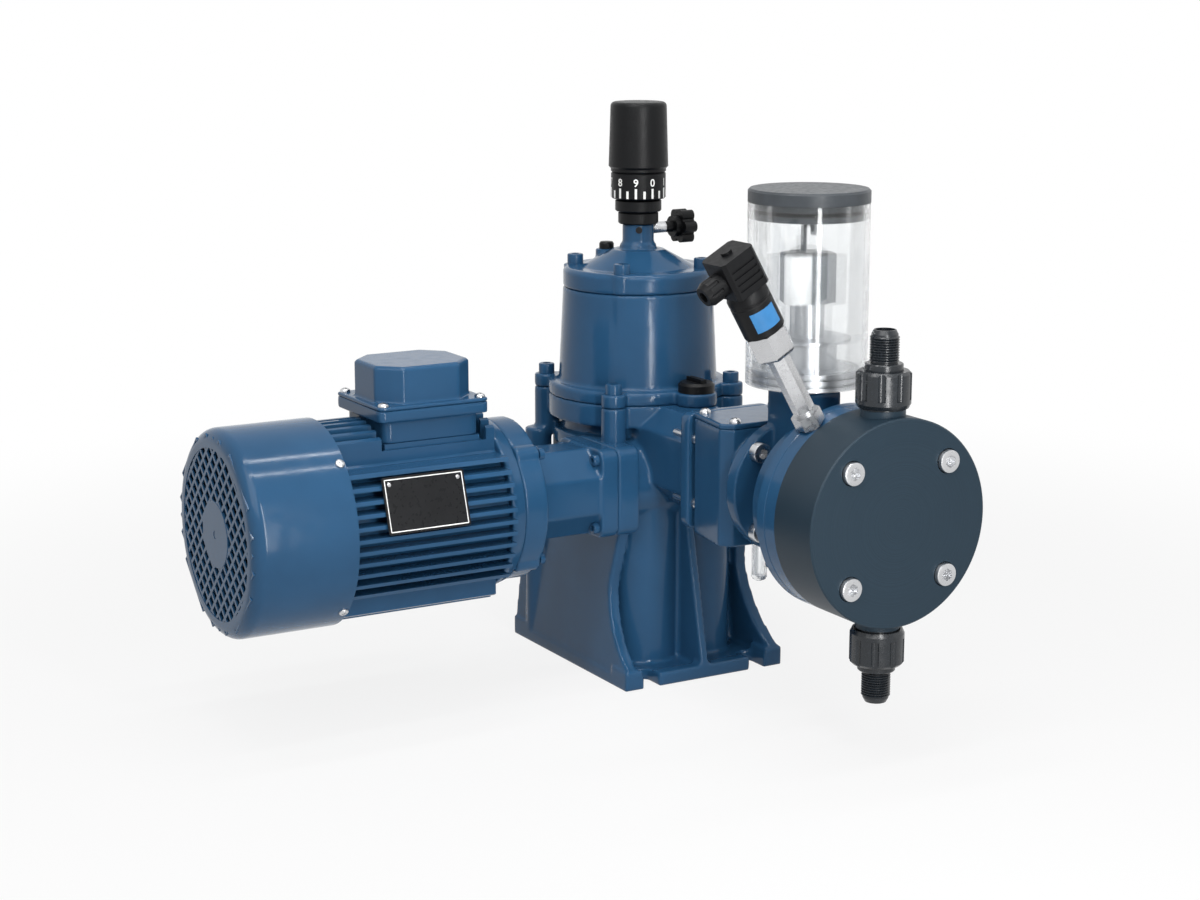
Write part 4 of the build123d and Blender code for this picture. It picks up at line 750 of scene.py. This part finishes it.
def cover_shell(radius, length, rim):
    """The pressed cover about Z: a wall, a rounded edge and a rim round the grille."""
    sheet, edge = 2 * MM, 10 * MM
    outside = [(radius, 0)] + arc(radius - edge, length - edge, edge, 0, 90, 8) + [(rim, length)]
    inside = ([(rim, length - sheet)] + arc(radius - edge, length - edge, edge - sheet, 90, 0, 8)
              + [(radius - sheet, 0)])
    return turned("cover_shell", outside + inside, 128, ring=True)


def grille(radius, hub, pitch, web, thickness):
    """A lattice of diamond holes in the XY plane, between the hub and the rim."""
    count = int(2 * radius / pitch) + 2
    clear_selection()
    bpy.ops.mesh.primitive_grid_add(x_subdivisions=count, y_subdivisions=count, size=count * pitch,
                                    rotation=(0, 0, math.radians(45)))
    piece = started("grille")
    with editing(piece) as mesh:
        pick(mesh, mesh.faces, lambda face: face.calc_center_median().length > radius + pitch / 2)
        bpy.ops.mesh.delete(type="FACE")
        pick(mesh, mesh.faces, lambda face: face.calc_center_median().length > hub)
        bpy.ops.mesh.inset(thickness=web / 2, use_individual=True)
        bpy.ops.mesh.delete(type="FACE")
    return modify(piece, "SOLIDIFY", thickness=thickness, offset=0)


def cover_model(sizes):
    front, end = high("fan_cover").y, low("fan_cover").y
    radius, length = (high("fan_cover").x - low("fan_cover").x) / 2, front - end
    rim, hub = 64 * MM, 25 * MM
    lattice = grille(rim, hub - 4 * MM, sizes.grille_pitch, 2.6 * MM, 1.3 * MM)
    settle(lattice, Matrix.Translation((0, 0, length - 1 * MM)))
    boss = turned("hub", [(3 * MM, length - 2 * MM), (hub, length - 2 * MM), (hub, length - 0.4 * MM),
                          (hub - 0.4 * MM, length), (3 * MM, length)], 64, ring=True)
    piece = joined("cover_model", [cover_shell(radius, length, rim), lattice, boss])
    return smoothed(settle(piece, upright((motor_axis.x, front, motor_axis.z), -Y)))


def plate_pieces(sizes):
    """A blank plate with a printed border and two rivets, fixed on the motor's ribs."""
    tilt, reach = math.radians(18), 75.6 * MM
    out = X * math.cos(tilt) + Z * math.sin(tilt)
    along = (high("motor_frame").y + low("motor_frame").y) / 2 - 9 * MM
    seat = upright(Vector((motor_axis.x, along, motor_axis.z)) + out * reach, out, Y)
    width, height, thickness, line = sizes.plate_width, sizes.plate_height, 1 * MM, 0.7 * MM
    plate = rounded(bar("plate", width, height, thickness, 0, 2 * MM), 0.2 * MM)
    outer, inner = width - 4 * MM, height - 4 * MM
    rails = []
    for x, y, wide, deep in ((0, inner / 2, outer, line), (0, -inner / 2, outer, line),
                             (outer / 2, 0, line, inner), (-outer / 2, 0, line, inner)):
        rails.append(settle(bar("rail", wide, deep, 0.1 * MM, thickness), Matrix.Translation((x, y, 0))))
    rivets = []
    for x in (-1, 1):
        rivet = turned("rivet", [(1.6 * MM, 0), (1.6 * MM, thickness + 0.3 * MM), (0.8 * MM, thickness + 1 * MM)], 20)
        rivets.append(settle(rivet, Matrix.Translation((x * (outer / 2 - 3.5 * MM), inner / 2 - 3.5 * MM, 0))))
    pieces = (plate, joined("plate_border", rails), joined("plate_rivets", rivets))
    return [settle(piece, seat) for piece in pieces]


class PUMP_OT_motor(bpy.types.Operator):
    """Model the drive's joint, the fan cover with its grille and the blank plate"""

    bl_idname = "pump.motor"
    bl_label = "Motor"

    def execute(self, context):
        sizes = context.scene.pump_sizes
        dress(adapter_model(sizes), "pump", "motor_adapter", "enamel", "motor_adapter")
        dress(joint_model(sizes), "pump", "gear_casing", "enamel")
        dress(cover_model(sizes), "pump", "fan_cover", "sheet_enamel", "fan_cover")
        for piece, finish in zip(plate_pieces(sizes), ("plate", "print", "bright")):
            dress(piece, "pump", "motor_frame", finish)
        return {"FINISHED"}


# ------------------------------------------------------------------ stroke setting
def knob_model():
    """A plain knob, a little wider at its foot, with a domed top edge."""
    foot, top = low("stroke_knob").z, high("stroke_knob").z
    length, edge = top - foot, 3.5 * MM
    foot_radius, top_radius, skirt = 24.1 * MM, 22.6 * MM, 22.3 * MM
    outline = ([(skirt - 0.6 * MM, 0), (skirt, 0.6 * MM), (skirt, 2.6 * MM), (foot_radius, 4.4 * MM),
                (foot_radius - 0.1 * MM, 6 * MM)] + arc(top_radius - edge, length - edge, edge, 0, 90, 6))
    piece = turned("knob_model", outline)
    return smoothed(settle(piece, Matrix.Translation((knob_axis.x, knob_axis.y, foot))), 30)


def scale_model(sizes):
    """White marks round the sleeve, every other one longer and numbered."""
    radius, top = 22.1 * MM, high("graduated_sleeve").z
    marks = []
    for i in range(sizes.scale_marks):
        angle = 2 * math.pi * i / sizes.scale_marks
        out = Vector((math.cos(angle), math.sin(angle), 0))
        numbered = i % 2 == 0
        height = (8 if numbered else 6) * MM
        foot = Vector((knob_axis.x, knob_axis.y, top - 20 * MM + height / 2)) + out * (radius - 0.1 * MM)
        marks.append(settle(bar("mark", 1.9 * MM, height, 0.25 * MM), upright(foot, out, Z.cross(out))))
        if numbered:
            number = figure(str(i // 2), 6 * MM)
            place = Vector((knob_axis.x, knob_axis.y, top - 7.6 * MM)) + out * (radius - 0.1 * MM)
            marks.append(settle(number, upright(place, out, Z.cross(out))))
    return joined("scale_marks", marks)


def figure(text, height):
    """A raised figure in the XY plane, centred on the origin."""
    clear_selection()
    bpy.ops.object.text_add()
    letter = bpy.context.active_object
    letter.data.body = text
    letter.data.size = height * 1.4
    letter.data.extrude = 0.13 * MM
    letter.data.offset = 0.12 * MM
    letter.data.align_x, letter.data.align_y = "CENTER", "CENTER"
    take(letter)
    bpy.ops.object.convert(target="MESH")
    return started("figure")


class PUMP_OT_setting(bpy.types.Operator):
    """Model the stroke knob, the marks on its sleeve and the lock's bright stud"""

    bl_idname = "pump.setting"
    bl_label = "Stroke setting"

    def execute(self, context):
        dress(knob_model(), "adjuster", "stroke_knob", "grained_black", "stroke_knob")
        dress(scale_model(context.scene.pump_sizes), "pump", "graduated_sleeve", "print")
        lock = middle("lock_knob")
        neck = 12.9 * MM
        stud = settle(drum("lock_stud", 4.6 * MM, 12 * MM, 0, 32), upright((knob_axis.x, neck, lock.z), Y))
        dress(smoothed(rounded(stud, 0.5 * MM)), "lock_knob", "lock_knob", "bright")
        # A thin black disc on the neck stands in for a hole there: its black is painted shade.
        out = Vector((math.cos(math.radians(-28)), math.sin(math.radians(-28)), 0))
        place = Vector((knob_axis.x, knob_axis.y, lock.z)) + out * 12.2 * MM
        dress(settle(drum("neck_hole_shade", 2.7 * MM, 0.8 * MM, 0, 32), upright(place, out)), "pump", "top_cap", "rubber")
        return {"FINISHED"}


# ------------------------------------------------------------------ valves
def nipple_model(node, up, sizes):
    """A nipple with its pipe thread, standing in from its free end."""
    box_low, box_high = low(node), high(node)
    total = box_high.z - box_low.z
    crest, root, bore = 10.4 * MM, 9.4 * MM, 7 * MM
    collar, foot, thread = 13.5 * MM, 9 * MM, 23.4 * MM
    flange_end, flange_start = 50.4 * MM, 55.4 * MM
    outline = [(bore, -total), (foot, -total), (foot, -flange_start), (collar + 2 * MM, -flange_start),
               (collar + 2 * MM, -flange_end - 2 * MM), (collar, -flange_end),
               (collar, -thread - 0.6 * MM), (collar - 0.6 * MM, -thread), (root, -thread), (root, -thread + 1 * MM)]
    turns = int((thread - 4 * MM) / sizes.thread_pitch)
    for i in range(turns):
        start = -thread + 1 * MM + i * sizes.thread_pitch
        outline += [(crest, start + sizes.thread_pitch * 0.35), (crest, start + sizes.thread_pitch * 0.55),
                    (root, start + sizes.thread_pitch * 0.95)]
    outline += [(root, -3 * MM), (root - 1.6 * MM, 0), (bore, 0)]
    piece = turned(node + "_model", outline, 48, ring=True)
    centre = middle(node)
    end = box_high.z if up > 0 else box_low.z
    return smoothed(settle(piece, upright((centre.x, centre.y, end), Z * up)), 25)


class PUMP_OT_valves(bpy.types.Operator):
    """Model the threaded nipples above and below the head"""

    bl_idname = "pump.valves"
    bl_label = "Valves"

    def execute(self, context):
        sizes = context.scene.pump_sizes
        for node, up in (("discharge_nipple", 1), ("suction_nipple", -1)):
            dress(nipple_model(node, up, sizes), "pump", node, "satin_black", node)
        return {"FINISHED"}


# ------------------------------------------------------------------ pressure switch and reservoir
def switch_pieces():
    """A bright six-sided nut, the black body above it and its blank label."""
    tilt = math.radians(30)
    axis = Vector((0, -math.sin(tilt), math.cos(tilt)))
    length, nut, flats, radius = 55 * MM, 21 * MM, 27 * MM, 15 * MM
    seat = upright(middle("pressure_switch") - axis * length / 2, axis)
    corner = flats / 2 / math.cos(math.radians(30))
    hexagon = turned("switch_nut", [(corner - 3.4 * MM, 0), (corner - 0.6 * MM, 2.4 * MM), (corner, 4 * MM),
                                    (corner, nut)], 6)
    body = turned("switch_body", [(radius - 0.8 * MM, nut), (radius, nut + 0.8 * MM), (radius, nut + 24 * MM),
                                  (radius - 0.5 * MM, nut + 24.5 * MM), (radius - 0.5 * MM, nut + 26 * MM),
                                  (radius, nut + 26.5 * MM), (radius, length - 4 * MM),
                                  (radius - 2 * MM, length)], 64)
    clear_selection()
    bpy.ops.mesh.primitive_grid_add(x_subdivisions=16, y_subdivisions=1, size=1, location=(0, 0, 0))
    label = started("switch_label")
    settle(label, Matrix.Diagonal((20 * MM, 15 * MM, 1, 1)))
    modify(label, "SOLIDIFY", thickness=0.2 * MM, offset=0)
    wrapped(label, radius + 0.1 * MM, Vector((0, 0, 0)), nut + 13 * MM)
    settle(label, Matrix.Rotation(math.radians(-8), 4, "Z"))
    return [smoothed(settle(piece, seat), 28) for piece in (hexagon, body, label)]


class PUMP_OT_fittings(bpy.types.Operator):
    """Model the pressure switch and the relief valve's white cylinder"""

    bl_idname = "pump.fittings"
    bl_label = "Fittings"

    def execute(self, context):
        nut, body, label = switch_pieces()
        dress(nut, "pump", "pressure_switch", "bright")
        dress(body, "pump", "pressure_switch", "black", "pressure_switch")
        dress(label, "pump", "pressure_switch", "label")
        valve = low("relief_valve")
        cylinder = rounded(drum("relief_cylinder", 10.35 * MM, 35.2 * MM, -0.1 * MM), 0.6 * MM)
        place = Vector((reservoir_axis.x + 8 * MM, -13.5 * MM, valve.z))
        dress(smoothed(settle(cylinder, Matrix.Translation(place))), "pump", "relief_valve", "nylon")
        return {"FINISHED"}


# ------------------------------------------------------------------ stage
class PUMP_OT_stage(bpy.types.Operator):
    """Set the floor, the surround, the lamps and the camera"""

    bl_idname = "pump.stage"
    bl_label = "Stage"

    def execute(self, context):
        studio = context.scene.pump_studio
        clear_selection()
        bpy.ops.mesh.primitive_plane_add(size=9, location=(0, 0, 0))
        floor = started("floor")
        self._shift_floor(floor)
        floor.data.materials.append(self._floor_finish())
        self._surround(context.scene, studio)
        target = Vector((0.12, -0.12, 0.2))
        self._lamp("key", target + Vector((0.75, -0.95, 1.2)), target, (1.3, 1.3), studio.key_power)
        self._lamp("fill", target + Vector((0.6, 1.2, 0.9)), target, (1.2, 1.2), studio.fill_power)
        self._lamp("tall_strip", Vector((1.0, -0.21, 0.47)), Vector((0, 0, 0.47)), (0.1, 0.9),
                   studio.strip_power)
        for x in (0.05, 0.55):
            self._lamp("overhead_strip", Vector((x, -0.2, 1.7)), Vector((x, -0.2, 0)), (0.08, 1.2),
                       studio.strip_power)
        bpy.ops.object.camera_add(location=studio.camera_place)
        camera = context.active_object
        look = Vector(studio.camera_target) - Vector(studio.camera_place)
        camera.rotation_euler = look.to_track_quat("-Z", "Y").to_euler()
        camera.data.lens = studio.lens
        camera.data.clip_end = 50
        context.scene.camera = camera
        context.scene.view_settings.view_transform = "Standard"
        return {"FINISHED"}

    @staticmethod
    def _shift_floor(floor):
        """Sink the floor by a hair, so that it doesn't share the base's face."""
        settle(floor, Matrix.Translation((0, 0, -0.0002)))

    @staticmethod
    def _seen_white(tree):
        """1 where the camera, a mirror or a window sees the surface, else 0."""
        path = tree.nodes.new("ShaderNodeLightPath")
        total = path.outputs["Is Camera Ray"]
        for name in ("Is Glossy Ray", "Is Transmission Ray"):
            more = tree.nodes.new("ShaderNodeMath")
            more.operation = "MAXIMUM"
            tree.links.new(total, more.inputs[0])
            tree.links.new(path.outputs[name], more.inputs[1])
            total = more.outputs[0]
        return total

    @staticmethod
    def _glow_share(tree):
        """How much the floor glows: less near the object, so that its shadow stays, and fully far out."""
        place = tree.nodes.new("ShaderNodeTexCoord")
        away = tree.nodes.new("ShaderNodeVectorMath")
        away.operation = "LENGTH"
        fade = tree.nodes.new("ShaderNodeMapRange")
        fade.interpolation_type = "SMOOTHSTEP"
        for socket, value in zip(fade.inputs[1:5], (0.35, 1.1, 0.84, 1.0)):
            socket.default_value = value
        tree.links.new(place.outputs["Object"], away.inputs[0])
        tree.links.new(away.outputs["Value"], fade.inputs[0])
        return fade.outputs[0]

    def _floor_finish(self):
        material = bpy.data.materials.new("floor_white")
        material.use_nodes = True
        tree = material.node_tree
        tree.nodes.clear()
        matte = tree.nodes.new("ShaderNodeBsdfDiffuse")
        matte.inputs[0].default_value = (0.6, 0.6, 0.6, 1)
        glow = tree.nodes.new("ShaderNodeEmission")
        glow.inputs[0].default_value = WHITE
        share = tree.nodes.new("ShaderNodeMath")
        share.operation = "MULTIPLY"
        tree.links.new(self._seen_white(tree), share.inputs[0])
        tree.links.new(self._glow_share(tree), share.inputs[1])
        mixed = tree.nodes.new("ShaderNodeMixShader")
        output = tree.nodes.new("ShaderNodeOutputMaterial")
        tree.links.new(share.outputs[0], mixed.inputs[0])
        tree.links.new(matte.outputs[0], mixed.inputs[1])
        tree.links.new(glow.outputs[0], mixed.inputs[2])
        tree.links.new(mixed.outputs[0], output.inputs[0])
        return material

    def _surround(self, scene, studio):
        world = bpy.data.worlds.new("surround")
        scene.world = world
        world.use_nodes = True
        tree = world.node_tree
        tree.nodes.clear()
        strength = tree.nodes.new("ShaderNodeMapRange")
        tree.links.new(self._seen_white(tree), strength.inputs[0])
        strength.inputs[3].default_value = studio.surround
        strength.inputs[4].default_value = 1.0
        background = tree.nodes.new("ShaderNodeBackground")
        background.inputs[0].default_value = WHITE
        output = tree.nodes.new("ShaderNodeOutputWorld")
        tree.links.new(strength.outputs[0], background.inputs[1])
        tree.links.new(background.outputs[0], output.inputs[0])

    @staticmethod
    def _lamp(name, place, target, size, power):
        bpy.ops.object.light_add(type="AREA", location=place)
        lamp = bpy.context.active_object
        lamp.name = name
        lamp.rotation_euler = (target - place).to_track_quat("-Z", "Y").to_euler()
        lamp.data.shape = "RECTANGLE"
        lamp.data.size, lamp.data.size_y = size
        lamp.data.energy = power


class PUMP_PT_sidebar(bpy.types.Panel):
    """Lists the steps that dress the pump"""

    bl_idname = "PUMP_PT_sidebar"
    bl_label = "Metering Pump"
    bl_space_type = "VIEW_3D"
    bl_region_type = "UI"
    bl_category = "Pump"

    def draw(self, context):
        layout = self.layout
        for step in STEPS:
            layout.operator(step.bl_idname)
        for group in (context.scene.pump_finishes, context.scene.pump_sizes, context.scene.pump_studio):
            for name in group.__annotations__:
                layout.prop(group, name)


STEPS = (PUMP_OT_finishes, PUMP_OT_castings, PUMP_OT_motor, PUMP_OT_screws, PUMP_OT_setting, PUMP_OT_valves,
         PUMP_OT_fittings, PUMP_OT_stage)
GROUPS = {"pump_finishes": PumpFinishes, "pump_sizes": PumpSizes, "pump_studio": PumpStudio}


def register():
    for group in GROUPS.values():
        bpy.utils.register_class(group)
    for name, group in GROUPS.items():
        setattr(bpy.types.Scene, name, PointerProperty(type=group))
    for step in STEPS + (PUMP_PT_sidebar,):
        bpy.utils.register_class(step)


def unregister():
    for step in reversed(STEPS + (PUMP_PT_sidebar,)):
        bpy.utils.unregister_class(step)
    for name in GROUPS:
        delattr(bpy.types.Scene, name)
    for group in GROUPS.values():
        bpy.utils.unregister_class(group)


def main():
    register()
    for step in STEPS:
        family, name = step.bl_idname.split(".")
        getattr(getattr(bpy.ops, family), name)()


if __name__ == "__main__":
    main()
